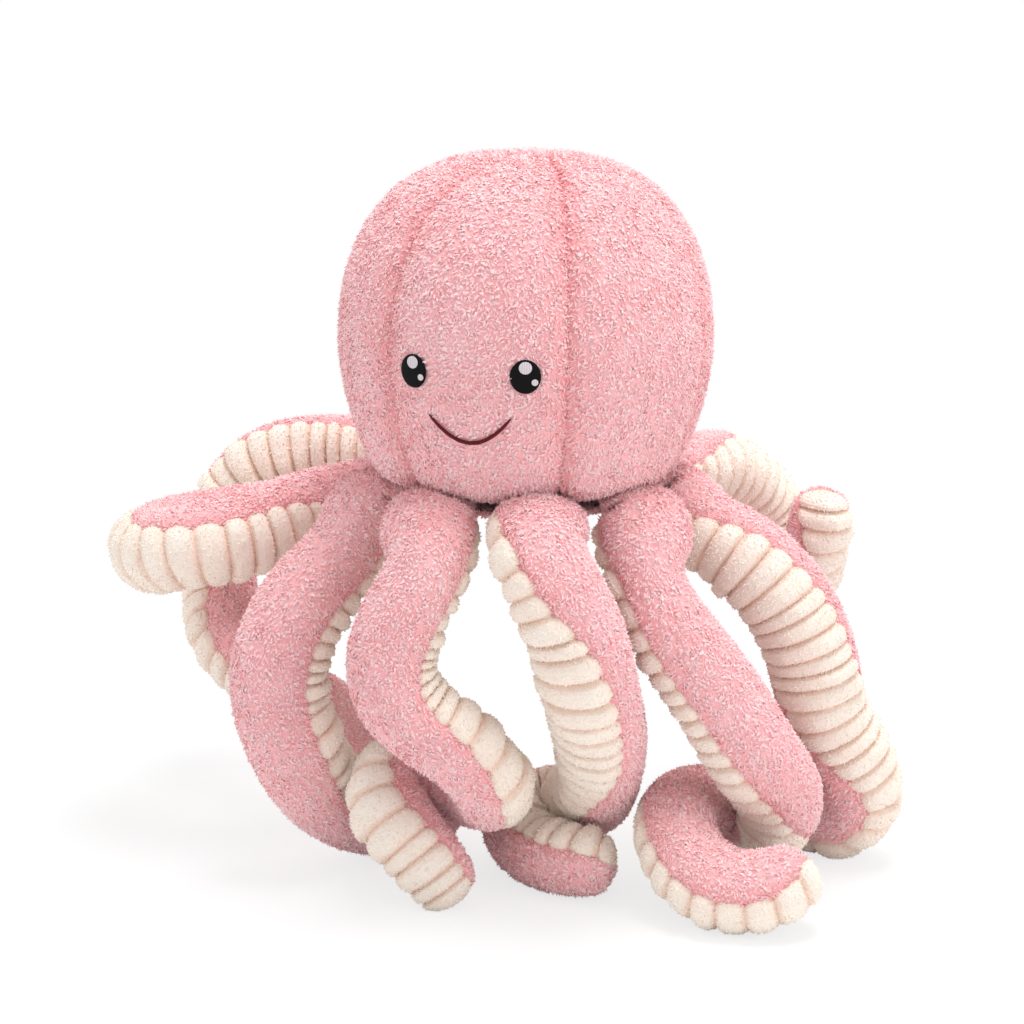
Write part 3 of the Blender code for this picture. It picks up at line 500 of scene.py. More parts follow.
class ArmShape:
    """One arm's round, tapering body, read at any distance along it and any turn about it."""

    def __init__(self, name):
        joint = next(j for j in frame["joints"] if j["name"] == name + "_root")
        degrees, stops = ARM_ROUTES[name]
        angle = math.radians(degrees)
        outward = np.array((math.sin(angle), -math.cos(angle), 0.0))
        self.hinge = np.array(joint["pos_m"])
        self.leaving = outward * math.cos(ROOT_DROP) - np.array((0.0, 0.0, math.sin(ROOT_DROP)))
        self.pinch = unit(np.cross(np.array(joint["axis"]), self.leaving))
        across_root = unit(self.leaving - np.array((0.0, 0.0, 1.0)))
        self.root = [tuple(self.hinge + across_root * reach) for reach in ROOT_BEND]
        lead = self.hinge + self.leaving * LEAD_SHARES[0] * ARM_THICKNESS
        first = unit(from_view(stops[0][2]))
        turned = [unit(-self.pinch * (1 - share) + first * share)
                  for share in ROOT_TURNS.get(name, (0.0, 0.0))]
        knots = [np.hstack([self.hinge, ARM_THICKNESS * NECK_KNOT_SHARE, turned[0]]),
                 np.hstack([lead, ARM_THICKNESS * LEAD_SHARES[1], turned[1]])]
        for place, thickness, ribs in stops:
            knots.append(np.hstack([toy_axis() + from_view(place) * ARM_THICKNESS,
                                    thickness * ARM_THICKNESS / 2, unit(from_view(ribs))]))
        rows = read_curve(np.array(knots), CURVE_READINGS)
        along = length_steps(rows)
        count = int(round(along[-1] / (EASE_STEP_SHARE * ARM_THICKNESS)))
        rows = read_at(rows, along, np.linspace(0.0, along[-1], count + 1))
        hold = int(round(EASE_HOLD_SHARE / EASE_STEP_SHARE))
        for _ in range(EASE_PASSES):
            rows[hold:-1] = (rows[hold - 1:-2] + 2 * rows[hold:-1] + rows[hold + 1:]) / 4
        along = length_steps(rows)
        lowest = int(np.argmin(rows[:, 2] - rows[:, 3]))
        ramp = np.clip(along / along[lowest], 0.0, 1.0)
        rows[:, 2] -= FLOOR_DROPS[name] * ramp ** 2 * (3 - 2 * ramp)
        self.rows = rows
        self.along = length_steps(rows)
        self.length = self.along[-1]
        self.tip_radius = rows[-1, 3]
        self.start = NECK_SHARES[0][0] * ARM_THICKNESS
        self.end = self.length + TIP_OVERRUN * TIP_CLOSING

    def surface(self, places, turns, lift):
        """Points at places along the arm and turns from the ribs' middle in degrees, lifted off the skin."""
        row = read_at(self.rows, self.along, np.clip(places, 0.0, self.length))
        before = read_at(self.rows, self.along, np.clip(places - BEND_REACH, 0.0, self.length))[:, :3]
        after = read_at(self.rows, self.along, np.clip(places + BEND_REACH, 0.0, self.length))[:, :3]
        tangent = unit(after - before)
        beyond = np.where(places < 0, places, np.maximum(places - self.length, 0.0))[:, None]
        centre = row[:, :3] + np.where(places[:, None] < 0, self.leaving, tangent) * beyond
        ribs = unit(row[:, 4:7] - tangent * np.sum(row[:, 4:7] * tangent, axis=1, keepdims=True))
        side = np.cross(tangent, ribs)
        radius, flatness = self.thickness(places, row[:, 3])
        bend, squash = self.bend(row[:, :3], before, after, tangent, side, radius)
        turn = np.radians(turns)[None, :, None]
        reach = radius[:, None, None] + lift[:, :, None]
        offset = (ribs[:, None] * np.cos(turn) + side[:, None] * np.sin(turn)) * reach
        pinched = np.sum(offset * self.pinch, axis=2, keepdims=True)
        offset = offset - self.pinch * pinched * (1 - flatness)[:, None, None]
        inward = np.maximum(np.sum(offset * bend[:, None], axis=2, keepdims=True), 0.0)
        offset = offset - bend[:, None] * inward * (1 - squash)[:, None, None]
        return centre[:, None] + offset

    def thickness(self, places, radius):
        """The radius at each place, and how far the arm is pinched flat there."""
        neck = places / ARM_THICKNESS
        spots, widths, thicknesses = (np.array(column) for column in zip(*NECK_SHARES))
        past = np.clip((neck - spots[-1]) / NECK_FADE, 0.0, 1.0)
        radius = radius * past + np.interp(neck, spots, widths) * ARM_THICKNESS * (1 - past)
        flatness = past + np.interp(neck, spots, thicknesses / widths) * (1 - past)
        flare = 1 + ROOT_FLARE * np.exp(-((neck - ROOT_FLARE_PLACE) / ROOT_FLARE_REACH) ** 2)
        radius, flatness = radius * flare, flatness / flare
        left = np.clip((self.length + TIP_OVERRUN - places) / self.tip_radius, 0.0, 1.0)
        return radius * (1 - (1 - left) ** TIP_ROUND) ** (1 / TIP_ROUND), flatness

    def bend(self, middle, before, after, tangent, side, radius):
        """Which way the arm bends at each place, and how far its inner side is squashed there."""
        bow = (before + after) / 2 - middle
        bow = bow - tangent * np.sum(bow * tangent, axis=1, keepdims=True)
        half_chord = np.linalg.norm(after - before, axis=1) / 2
        height = np.maximum(np.linalg.norm(bow, axis=1), 1e-9)
        bend_radius = (half_chord ** 2 + height ** 2) / (2 * height)
        squash = np.minimum(1.0, SQUASH_SHARE * bend_radius / np.maximum(radius, 1e-6))
        return bow / height[:, None], squash


# Modelling helpers

def deselect():
    if bpy.context.object and bpy.context.object.mode != "OBJECT":
        bpy.ops.object.mode_set(mode="OBJECT")
    bpy.ops.object.select_all(action="DESELECT")


def activate(piece):
    deselect()
    piece.select_set(True)
    bpy.context.view_layer.objects.active = piece


def lay_grid(name, points):
    """Adds a grid and lays it over rows and columns of points, so that it faces away from their middle."""
    deselect()
    rows, columns = points.shape[:2]
    bpy.ops.mesh.primitive_grid_add(x_subdivisions=rows - 1, y_subdivisions=columns - 1, size=1.0)
    piece = bpy.context.object
    piece.name = piece.data.name = name
    flat = read_vertices(piece)
    row = np.rint((flat[:, 0] + 0.5) * (rows - 1)).astype(int)
    column = np.rint((0.5 - flat[:, 1]) * (columns - 1)).astype(int)
    write_vertices(piece, points[row, column])
    piece.data.uv_layers[0].name = BAKE_MAP
    return piece, row, column


def read_vertices(piece):
    places = np.zeros(len(piece.data.vertices) * 3)
    piece.data.vertices.foreach_get("co", places)
    return places.reshape(-1, 3)


def write_vertices(piece, places):
    piece.data.vertices.foreach_set("co", places.ravel())
    piece.data.update()


def turn_outward(piece):
    activate(piece)
    bpy.ops.object.mode_set(mode="EDIT")
    bpy.ops.mesh.select_all(action="SELECT")
    bpy.ops.mesh.normals_make_consistent(inside=False)
    bpy.ops.object.mode_set(mode="OBJECT")


def remove(pieces):
    for piece in pieces:
        bpy.data.objects.remove(piece)


def write_attribute(piece, name, values):
    """Stores one number or one vector for each vertex of a piece."""
    kind = "FLOAT" if values.ndim == 1 else "FLOAT_VECTOR"
    attribute = piece.data.attributes.new(name, kind, "POINT")
    attribute.data.foreach_set("value" if kind == "FLOAT" else "vector", values.astype(np.float32).ravel())


def thicken(piece, thickness):
    """Gives a skin a wall on its inner side, marked so that no pile grows there."""
    piece.vertex_groups.new(name=INNER_WALL)
    wall = piece.modifiers.new("Wall", "SOLIDIFY")
    wall.thickness = thickness
    wall.offset = -1.0
    wall.use_rim = True
    wall.shell_vertex_group = INNER_WALL
    apply_modifier(piece, wall)


def apply_modifier(piece, modifier):
    activate(piece)
    bpy.ops.object.modifier_apply(modifier=modifier.name)


def ways_along(points, axis):
    """The way from each point of a grid to the next along an axis. The last one takes the way before it."""
    ways = np.diff(points, axis=axis)
    return np.concatenate([ways, np.take(ways, [-1], axis=axis)], axis=axis)


def sew_skin(name, points, nap, relief, grows=None):
    """Lays cloth over rows and columns of points, with its nap, its painted shade and where its pile grows."""
    piece, row, column = lay_grid(name, points)
    write_attribute(piece, "nap", unit(nap[row, column] + (0.0, 0.0, -1e-6)))
    write_attribute(piece, "pile", np.ones(len(row)) if grows is None else grows(points[row, column]))
    write_attribute(piece, "relief", relief[row, column])
    thicken(piece, SKIN_WALL)
    return piece


def painted_seam_shade(rows, columns, sharpness):
    """A cloth's painted shade: a plain level that falls away toward the seams along its two sides, as painted
    shade in the seams.
    """
    edge = np.abs(np.linspace(-1.0, 1.0, columns))
    return np.tile(CLOTH_SHADE_LEVEL - SEAM_SHADE * edge ** sharpness, (rows, 1))


def finish_piece(piece, node, body, material, smooth=True, root=None):
    """Dresses a piece and lets it stand for its CAD node. It is seated on its body, unless an arm's root is
    given:
    then it only keeps its place in the world.
    """
    piece.data.materials.clear()
    piece.data.materials.append(material)
    piece.data.polygons.foreach_set("use_smooth", [smooth] * len(piece.data.polygons))
    if root is None:
        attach(piece, body)
    else:
        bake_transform(piece)
    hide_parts(node)


# Shader and geometry nodes

def add_node(tree, kind, inputs=None, **settings):
    """Adds a node, sets it up and feeds its inputs with values or with other nodes' outputs."""
    node = tree.nodes.new(kind)
    for key, value in settings.items():
        setattr(node, key, value)
    for key, value in (inputs or {}).items():
        if isinstance(value, bpy.types.NodeSocket):
            tree.links.new(value, node.inputs[key])
        else:
            node.inputs[key].default_value = value
    return node


def maths(tree, operation, first, second=0.0, third=0.0, clamp=False):
    return add_node(tree, "ShaderNodeMath", {0: first, 1: second, 2: third},
                    operation=operation, use_clamp=clamp).outputs[0]


def noise(tree, vector, scale, detail=2.0):
    return add_node(tree, "ShaderNodeTexNoise", {
        "Vector": vector, "Scale": scale, "Detail": detail}).outputs[0]


def spread(tree, value, width):
    """A value from 0 to 1, as one that strays half a width to each side of 0."""
    return maths(tree, "MULTIPLY_ADD", value, width, -width / 2)


def chance(tree, low, high, seed):
    return add_node(tree, "FunctionNodeRandomValue", {
        2: low, 3: high, "Seed": seed}, data_type="FLOAT").outputs[1]


def named(tree, name, kind="FLOAT"):
    return add_node(tree, "GeometryNodeInputNamedAttribute", {"Name": name}, data_type=kind).outputs[0]


def store(tree, geometry, name, value, kind="FLOAT", domain="POINT"):
    return add_node(tree, "GeometryNodeStoreNamedAttribute", {
        "Geometry": geometry, "Name": name, "Value": value}, data_type=kind, domain=domain).outputs[0]


def combine(tree, x, y, z=0.0):
    return add_node(tree, "ShaderNodeCombineXYZ", {0: x, 1: y, 2: z}).outputs[0]


def split(tree, vector):
    return add_node(tree, "ShaderNodeSeparateXYZ", {0: vector}).outputs


def scatter_tufts(tree, skin, settings, tufts, seed):
    """Plants tufts on a skin where its pile grows, combed along its nap with small eddies and strays."""
    place = add_node(tree, "GeometryNodeInputPosition").outputs[0]
    grows = maths(tree, "SUBTRACT", named(tree, "pile"), named(tree, INNER_WALL), clamp=True)
    spots = add_node(tree, "GeometryNodeDistributePointsOnFaces", {
        "Mesh": skin, "Distance Min": settings.spacing, "Density Max": PLANTING / settings.spacing ** 2,
        "Density Factor": grows, "Seed": seed}, distribute_method="POISSON")
    upright = add_node(tree, "FunctionNodeAlignRotationToVector", {
        "Vector": spots.outputs["Normal"]}, axis="Z")
    clump = add_node(tree, "ShaderNodeTexVoronoi", {"Vector": place, "Scale": 1 / CLUMP_SIZE}).outputs
    inward = add_node(tree, "ShaderNodeVectorMath", {
        0: clump["Position"], 1: place}, operation="SUBTRACT").outputs[0]
    lay = add_node(tree, "ShaderNodeVectorMath", {
        0: inward, 1: (CLUMP_PULL,) * 3, 2: named(tree, "nap", "FLOAT_VECTOR")},
        operation="MULTIPLY_ADD").outputs[0]
    combed = add_node(tree, "FunctionNodeAlignRotationToVector", {
        "Rotation": upright.outputs[0], "Vector": lay}, axis="X", pivot_axis="Z")
    eddy = spread(tree, noise(tree, place, 1 / EDDY_SIZE, 3.0), EDDY_TURN)
    turn = maths(tree, "ADD", eddy, chance(tree, -STRAY_TURN, STRAY_TURN, seed + 1))
    stray = combine(tree, chance(tree, -STRAY_LEAN, STRAY_LEAN, seed + 2),
                    chance(tree, -STRAY_LEAN, STRAY_LEAN, seed + 3), turn)
    stray = add_node(tree, "FunctionNodeEulerToRotation", {0: stray}).outputs[0]
    turned = add_node(tree, "FunctionNodeRotateRotation", {
        "Rotation": combed.outputs[0], "Rotate By": stray}, rotation_space="LOCAL").outputs[0]
    kinds = add_node(tree, "GeometryNodeJoinGeometry")
    for tuft in tufts:
        shape = add_node(tree, "GeometryNodeObjectInfo", {"Object": tuft, "As Instance": True})
        tree.links.new(shape.outputs["Geometry"], kinds.inputs[0])
    # Painted shade: the tufts darken toward the partings between clumps. Each tuft also differs in shade at
    # random.
    lit = spread(tree, clump["Distance"], -CLUMP_SHADE)
    lit = maths(tree, "ADD", lit, chance(tree, -TUFT_SHADE, TUFT_SHADE, seed + 4))
    shades = store(tree, spots.outputs["Points"], "shade",
                   maths(tree, "ADD", named(tree, "shade"), lit, clamp=True))
    return add_node(tree, "GeometryNodeInstanceOnPoints", {
        "Points": shades, "Instance": kinds.outputs[0], "Pick Instance": True, "Rotation": turned,
        "Scale": chance(tree, *TUFT_SCALES, seed + 5)}).outputs[0]


def pile_tree(settings, tufts, seed):
    """Geometry nodes that grow a pile of tufts on a skin, join the two and lay out their bake map.

    The map keeps its lower half for the skin. The upper half has the tufts by their shade, side and reach.
    """
    tree = bpy.data.node_groups.new("Pile", "GeometryNodeTree")
    tree.interface.new_socket("Skin", in_out="INPUT", socket_type="NodeSocketGeometry")
    tree.interface.new_socket("Piled skin", in_out="OUTPUT", socket_type="NodeSocketGeometry")
    skin = add_node(tree, "NodeGroupInput").outputs[0]
    place = add_node(tree, "GeometryNodeInputPosition").outputs[0]
    # The skin's shade is its painted shade (darker seams, rib crests painted light and rib creases painted
    # shaded) plus random patches.
    patches = spread(tree, noise(tree, place, 1 / PATCH_SIZE, 3.0), PATCH_SHADE)
    skin = store(tree, skin, "shade", maths(tree, "ADD", named(tree, "relief"), patches, clamp=True))
    planted = scatter_tufts(tree, skin, settings, tufts, seed)
    pile = add_node(tree, "GeometryNodeRealizeInstances", {"Geometry": planted}).outputs[0]
    across = maths(tree, "MULTIPLY_ADD", named(tree, "side"), 0.03, 0.02)
    across = maths(tree, "MULTIPLY_ADD", named(tree, "shade"), 0.92, across)
    upper = maths(tree, "MULTIPLY_ADD", named(tree, "reach"), 0.42, 0.55)
    pile = store(tree, pile, BAKE_MAP, combine(tree, across, upper), "FLOAT2", "CORNER")
    laid = split(tree, named(tree, BAKE_MAP, "FLOAT_VECTOR"))
    lower = maths(tree, "MULTIPLY", laid[1], 0.5)
    skin = store(tree, skin, BAKE_MAP, combine(tree, laid[0], lower), "FLOAT2", "CORNER")
    joined = add_node(tree, "GeometryNodeJoinGeometry")
    for part in (pile, skin):
        tree.links.new(part, joined.inputs[0])
    here = split(tree, place)
    over_floor = combine(tree, here[0], here[1], maths(tree, "MAXIMUM", here[2], FLOOR_ROOM))
    pressed = add_node(tree, "GeometryNodeSetPosition", {
        "Geometry": joined.outputs[0], "Position": over_floor})
    add_node(tree, "NodeGroupOutput", {0: pressed.outputs[0]})
    return tree


def grow_pile(piece, settings, tufts, seed):
    """Grows a cloth's pile for good."""
    pile = piece.modifiers.new("Pile", "NODES")
    pile.node_group = pile_tree(settings, tufts, seed)
    apply_modifier(piece, pile)


def model_tuft(name, settings, lean, curl, steps):
    """Models one tuft: a small triangle extruded upwards, leaning and curling over toward +X, to a point."""
    deselect()
    bpy.ops.mesh.primitive_circle_add(vertices=3, radius=settings.tuft_width / 2, fill_type="NGON",
                                      location=(0.0, 0.0, -settings.pile * TUFT_SINK_SHARE))
    tuft = bpy.context.object
    tuft.name = tuft.data.name = name
    bpy.ops.object.mode_set(mode="EDIT")
    bpy.ops.mesh.select_all(action="SELECT")
    angle = lean
    reached = 0.0
    for reach, shrink in steps + ((None, None),):
        reach = 1 - reached if reach is None else reach
        step = (math.sin(angle) * reach * settings.pile, 0.0, math.cos(angle) * reach * settings.pile)
        bpy.ops.mesh.extrude_region_move(TRANSFORM_OT_translate={"value": step})
        if shrink is not None:
            bpy.ops.transform.resize(value=(shrink, shrink, shrink))
        reached += reach
        angle += curl
    bpy.ops.mesh.merge(type="CENTER")
    bpy.ops.mesh.select_all(action="SELECT")
    bpy.ops.mesh.normals_make_consistent(inside=False)
    bpy.ops.object.mode_set(mode="OBJECT")
    bpy.ops.object.transform_apply(location=True, rotation=True, scale=True)
    places = read_vertices(tuft)
    travel = np.linalg.norm(places - places[:3].mean(axis=0), axis=1)
    write_attribute(tuft, "reach", travel / travel.max())
    write_attribute(tuft, "side", np.arctan2(places[:, 1], places[:, 0]) / math.tau + 0.5)
    while tuft.data.uv_layers:
        tuft.data.uv_layers.remove(tuft.data.uv_layers[0])
    tuft.hide_render = True
    return tuft


def model_tufts(settings, name="tuft", shapes=TUFT_SHAPES):
    return [model_tuft("%s_%d" % (name, k + 1), settings, *shape) for k, shape in enumerate(shapes)]


def new_material(name):
    material = bpy.data.materials.new(name)
    material.use_nodes = True
    return material, material.node_tree, material.node_tree.nodes["Principled BSDF"]


def attribute(tree, name):
    return add_node(tree, "ShaderNodeAttribute", attribute_name=name).outputs["Fac"]


def object_place(tree):
    return add_node(tree, "ShaderNodeTexCoord").outputs["Object"]


def mix_colours(tree, share, first, second):
    node = add_node(tree, "ShaderNodeMix", {0: share}, data_type="RGBA")
    for key, value in ((6, first), (7, second)):
        if isinstance(value, bpy.types.NodeSocket):
            tree.links.new(value, node.inputs[key])
        else:
            node.inputs[key].default_value = (*value, 1.0)
    return node.outputs[2]


def shared_group(name, inputs, outputs):
    """A shader node group, made the first time it is asked for, and whether it is still empty."""
    if name in bpy.data.node_groups:
        return bpy.data.node_groups[name], None, None
    group = bpy.data.node_groups.new(name, "ShaderNodeTree")
    for label, kind in inputs:
        group.interface.new_socket(label, in_out="INPUT", socket_type=kind)
    for label, kind in outputs:
        group.interface.new_socket(label, in_out="OUTPUT", socket_type=kind)
    return group, add_node(group, "NodeGroupInput").outputs, add_node(group, "NodeGroupOutput").inputs


def fibre_grain():
    """The fine tangle of loose fibres, as a height and a mask of soft patches."""
    group, given, made = shared_group(
        "Fibre grain", (("Place", "NodeSocketVector"), ("Fibres per metre", "NodeSocketFloat"),
                        ("Patches per metre", "NodeSocketFloat")),
        (("Height", "NodeSocketFloat"), ("Patches", "NodeSocketFloat")))
    if given:
        fibres = noise(group, given["Place"], given["Fibres per metre"], 3.0)
        dents = noise(group, given["Place"], maths(group, "MULTIPLY", given["Fibres per metre"], 0.22), 2.0)
        group.links.new(maths(group, "MULTIPLY_ADD", dents, 1.8, fibres), made["Height"])
        patches = noise(group, given["Place"], given["Patches per metre"], 4.0)
        group.links.new(maths(group, "MULTIPLY_ADD", patches, 1.6, -0.3, clamp=True), made["Patches"])
    return group


def thread_lay():
    """Threads laid side by side, as a height."""
    group, given, made = shared_group(
        "Thread lay", (("Place", "NodeSocketVector"), ("Threads per metre", "NodeSocketFloat")),
        (("Height", "NodeSocketFloat"),))
    if given:
        wave = add_node(group, "ShaderNodeTexWave", {
            "Vector": given["Place"], "Scale": given["Threads per metre"], "Distortion": 1.5, "Detail": 2.0},
            bands_direction="X")
        group.links.new(wave.outputs["Fac"], made["Height"])
    return group


def grained(tree, fibres, patches):
    """Places the fibre grain in a material and gives its height and patches."""
    node = add_node(tree, "ShaderNodeGroup", node_tree=fibre_grain())
    tree.links.new(object_place(tree), node.inputs["Place"])
    node.inputs["Fibres per metre"].default_value = fibres
    node.inputs["Patches per metre"].default_value = patches
    return node.outputs["Height"], node.outputs["Patches"]


def bump(tree, shader, height, strength, distance):
    node = add_node(tree, "ShaderNodeBump", {"Strength": strength, "Distance": distance, "Height": height})
    tree.links.new(node.outputs[0], shader.inputs["Normal"])


def strand_stripes():
    """The single fibres along a tuft: lighter and darker stripes from its root to its tip."""
    group, given, made = shared_group(
        "Strands", (("Side", "NodeSocketFloat"), ("Reach", "NodeSocketFloat"), ("Shade", "NodeSocketFloat")),
        (("Lightness", "NodeSocketFloat"),))
    if given:
        around = maths(group, "MULTIPLY", given["Side"], STRANDS)
        tuft = maths(group, "MULTIPLY", given["Shade"], STRAND_CHANGE)
        stripes = noise(group, combine(group, around, given["Reach"], tuft), 1.0, 1.0)
        group.links.new(spread(group, stripes, STRAND_SHADE), made["Lightness"])
    return group


def strands(tree):
    """Places the strands in a material and gives how much lighter or darker they are."""
    node = add_node(tree, "ShaderNodeGroup", node_tree=strand_stripes())
    for label in ("Side", "Reach", "Shade"):
        tree.links.new(attribute(tree, label.lower()), node.inputs[label])
    return node.outputs["Lightness"]


def pile_material(name, share, root, tip, roughness):
    """Cloth whose colour goes from its roots, painted as shaded, to its tips by a share, without any shine."""
    material, tree, shader = new_material(name)
    tree.links.new(mix_colours(tree, share(tree), root, tip), shader.inputs["Base Color"])
    shader.inputs["Roughness"].default_value = roughness
    shader.inputs["Specular IOR Level"].default_value = 0.0
    return material


def plush_material(settings):
    """Fluffy cloth: painted shade of deeper pink down between the tufts, pale tips that are partly painted
    light, and softly uneven in shade.
    """
    return pile_material("Pink plush", plush_share, settings.shaded_root_colour, settings.tip_colour, 0.9)


def plush_share(tree):
    # Painted shade: the colour runs from the shaded roots to the pale tips by each point's reach up its tuft.
    reach = maths(tree, "POWER", attribute(tree, "reach"), TIP_SPREAD)
    shade = maths(tree, "MULTIPLY_ADD", attribute(tree, "shade"), SHADE_SHARE, ROOT_SHARE - SHADE_SHARE / 2)
    share = maths(tree, "MULTIPLY_ADD", reach, 1 - ROOT_SHARE, shade)
    return maths(tree, "ADD", share, strands(tree), clamp=True)


def rib_material(settings):
    """Short velvety ribbed cloth: painted shade, warm and darker, in the creases, pale on the crests as painted
    light, finely tangled.
    """
    return pile_material("Cream ribbed plush", rib_share, settings.shaded_crease_colour, settings.crest_colour, 0.92)


def rib_share(tree):
    # Painted light: the fuzz's tips are lighter than its roots.
    share = maths(tree, "MULTIPLY_ADD", attribute(tree, "reach"), FUZZ_TIPS, attribute(tree, "shade"))
    return maths(tree, "MULTIPLY_ADD", strands(tree), FUZZ_STRANDS, share, clamp=True)


def thread_material(name, colour, roughness):
    """Satin stitch: fine threads side by side, with painted shade a little darker between them."""
    material, tree, shader = new_material(name)
    lay = add_node(tree, "ShaderNodeGroup", node_tree=thread_lay())
    tree.links.new(object_place(tree), lay.inputs["Place"])
    lay.inputs["Threads per metre"].default_value = 260.0
    threads = lay.outputs[0]
    # Painted shade: the thread's colour is darkened to 0.8 in the troughs between threads.
    tree.links.new(mix_colours(tree, threads, [channel * 0.8 for channel in colour], colour),
                   shader.inputs["Base Color"])
    shader.inputs["Roughness"].default_value = roughness
    shader.inputs["Specular IOR Level"].default_value = 0.12
    bump(tree, shader, threads, 0.3, 0.0002)
    return material


def filling_material():
    """White polyester fibre in loose lumps."""
    material, tree, shader = new_material("White filling")
    height, patches = grained(tree, 700.0, 90.0)
    tree.links.new(mix_colours(tree, patches, (0.74, 0.74, 0.72), (0.90, 0.90, 0.89)),
                   shader.inputs["Base Color"])
    shader.inputs["Roughness"].default_value = 0.95
    bump(tree, shader, height, 0.8, 0.0015)
    return material


# The head's shape

class HeadShape:
    """The head's skin, read at any turn from the face and any share of the way from its seam to its top."""

    def __init__(self):
        boxes = [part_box("head_gore_%d" % (k + 1)) for k in range(GORE_COUNT)]
        low = np.min([box[0] for box in boxes], axis=0)
        high = np.max([box[1] for box in boxes], axis=0)
        self.middle = toy_axis()
        self.half_width = (high[1] - low[1]) / 2
        self.seam = low[2]
        self.height = high[2] - low[2]
        knots = np.array([(r * self.half_width, 0.0, h * self.height) for r, h in HEAD_PROFILE_SHARES])
        self.profile = read_curve(knots, PROFILE_READINGS)
        self.along = length_steps(self.profile)

    def surface(self, turns, shares, lift):
        """Points at turns from the face and at shares of the outline's length, lifted off the skin."""
        places = np.asarray(shares) * self.along[-1]
        row = read_at(self.profile, self.along, places)
        before = read_at(self.profile, self.along, np.maximum(places - HEAD_REACH, 0.0))
        after = read_at(self.profile, self.along, np.minimum(places + HEAD_REACH, self.along[-1]))
        slope = unit(after - before)
        radius = np.maximum(row[..., 0] + lift * slope[..., 2], 0.0)
        height = row[..., 2] - lift * slope[..., 0]
        return self.middle + np.stack([np.sin(turns) * radius, -np.cos(turns) * radius,
                                       self.seam + height], axis=-1)

    def at_face(self, across, rise, lift):
        """Points a distance round from the face's middle and up from the seam, lifted off the skin."""
        shares = np.interp(rise, self.profile[:, 2], self.along / self.along[-1])
        return self.surface(across / self.half_width, shares, lift)

    def gore(self, number):
        """Rows and columns of points over one gore, which sinks toward its seams."""
        shares = np.linspace(0.0, 1.0, GORE_ROWS)[:, None]
        across = np.linspace(-1.0, 1.0, GORE_COLUMNS)[None, :]
        across = np.sign(across) * (1 - (1 - np.abs(across)) ** GORE_CROWDING)
        turns = (number + across / 2) * math.tau / GORE_COUNT + SEAM_TWIST * shares ** SEAM_TWIST_POWER
        return self.surface(turns, shares + 0 * turns, -SKIN_SINK - self.seam_dip(across, shares))

    def seam_dip(self, across, shares):
        """How deep a gore sinks at a share of the way from its middle, 0, to a seam, 1 or -1."""
        fading = np.clip((1 - shares) / SEAM_FADE, SEAM_TOP_SHARE, 1.0)
        return SEAM_DIP * np.abs(across) ** SEAM_SHARPNESS * fading

    def clear_of_stitches(self, points):
        """1 where the pile grows and 0 where it is trimmed away under the stitching."""
        place = points - self.middle
        across = np.arctan2(place[:, 0], -place[:, 1]) * self.half_width
        rise = place[:, 2] - self.seam
        grows = np.ones(len(points))
        for name, middle, size, layers in stitch_patches():
            if layers == 0:
                reach = np.hypot((across - middle[0]) / (size[0] / 2 + EYE_TRIM),
                                 (rise - middle[1]) / (size[1] / 2 + EYE_TRIM))
                grows[reach < 1] = 0.0
        shares = np.linspace(-1.0, 1.0, 60)
        line = np.stack(smile_line(shares), axis=1)
        gap = np.min(np.hypot(across[:, None] - line[:, 0], rise[:, None] - line[:, 1]), axis=1)
        grows[gap < SMILE_LINE / 2 + SMILE_TRIM] = 0.0
        return grows


def stitch_patches():
    """The face's stitched ovals: name, middle, size and how many layers of thread lie under each."""
    patches = []
    for side, place in (("right", -1), ("left", 1)):
        middle = (place * EYE_SPREAD / 2, EYE_RISE)
        patches.append(("eye_" + side, middle, EYE_SIZE, 0))
        patches.append(("eye_glint_" + side, (middle[0], middle[1] + EYE_SIZE[1] * GLINT_RISE_SHARE),
                        GLINT_SIZE, 1))
        patches.append(("eye_small_glint_" + side, (
            middle[0] + EYE_SIZE[0] * SMALL_GLINT_SHARES[0],
            middle[1] + EYE_SIZE[1] * SMALL_GLINT_SHARES[1]), SMALL_GLINT_SIZE, 1))
    return patches


def smile_line(share):
    """The smile's middle line at a share from its left end, -1, to its right end, 1."""
    return share * SMILE_WIDTH / 2, SMILE_RISE - SMILE_DEPTH * (1 - share ** 2)


# Operators

class OCTOPUS_OT_head(bpy.types.Operator):
    """Sews the head's six plush gores"""
    bl_idname = "octopus.head"
    bl_label = "Head"

    def execute(self, context):
        settings = context.scene.octopus_plush
        head = HeadShape()
        material = plush_material(settings)
        tufts = model_tufts(settings)
        for number in range(GORE_COUNT):
            points = head.gore(number)
            down = ways_along(points[::-1], 0)[::-1]
            # Painted shade: the pile darkens toward the gore's seams.
            piece = sew_skin("skin_gore_%d" % (number + 1), points, down,
                             painted_seam_shade(GORE_ROWS, GORE_COLUMNS, SEAM_SHARPNESS),
                             head.clear_of_stitches if number == 0 else None)
            grow_pile(piece, settings, tufts, seed=17 + 10 * number)
            finish_piece(piece, "head_gore_%d" % (number + 1), "head", material,
                         smooth=False)
        remove(tufts)
        return {"FINISHED"}


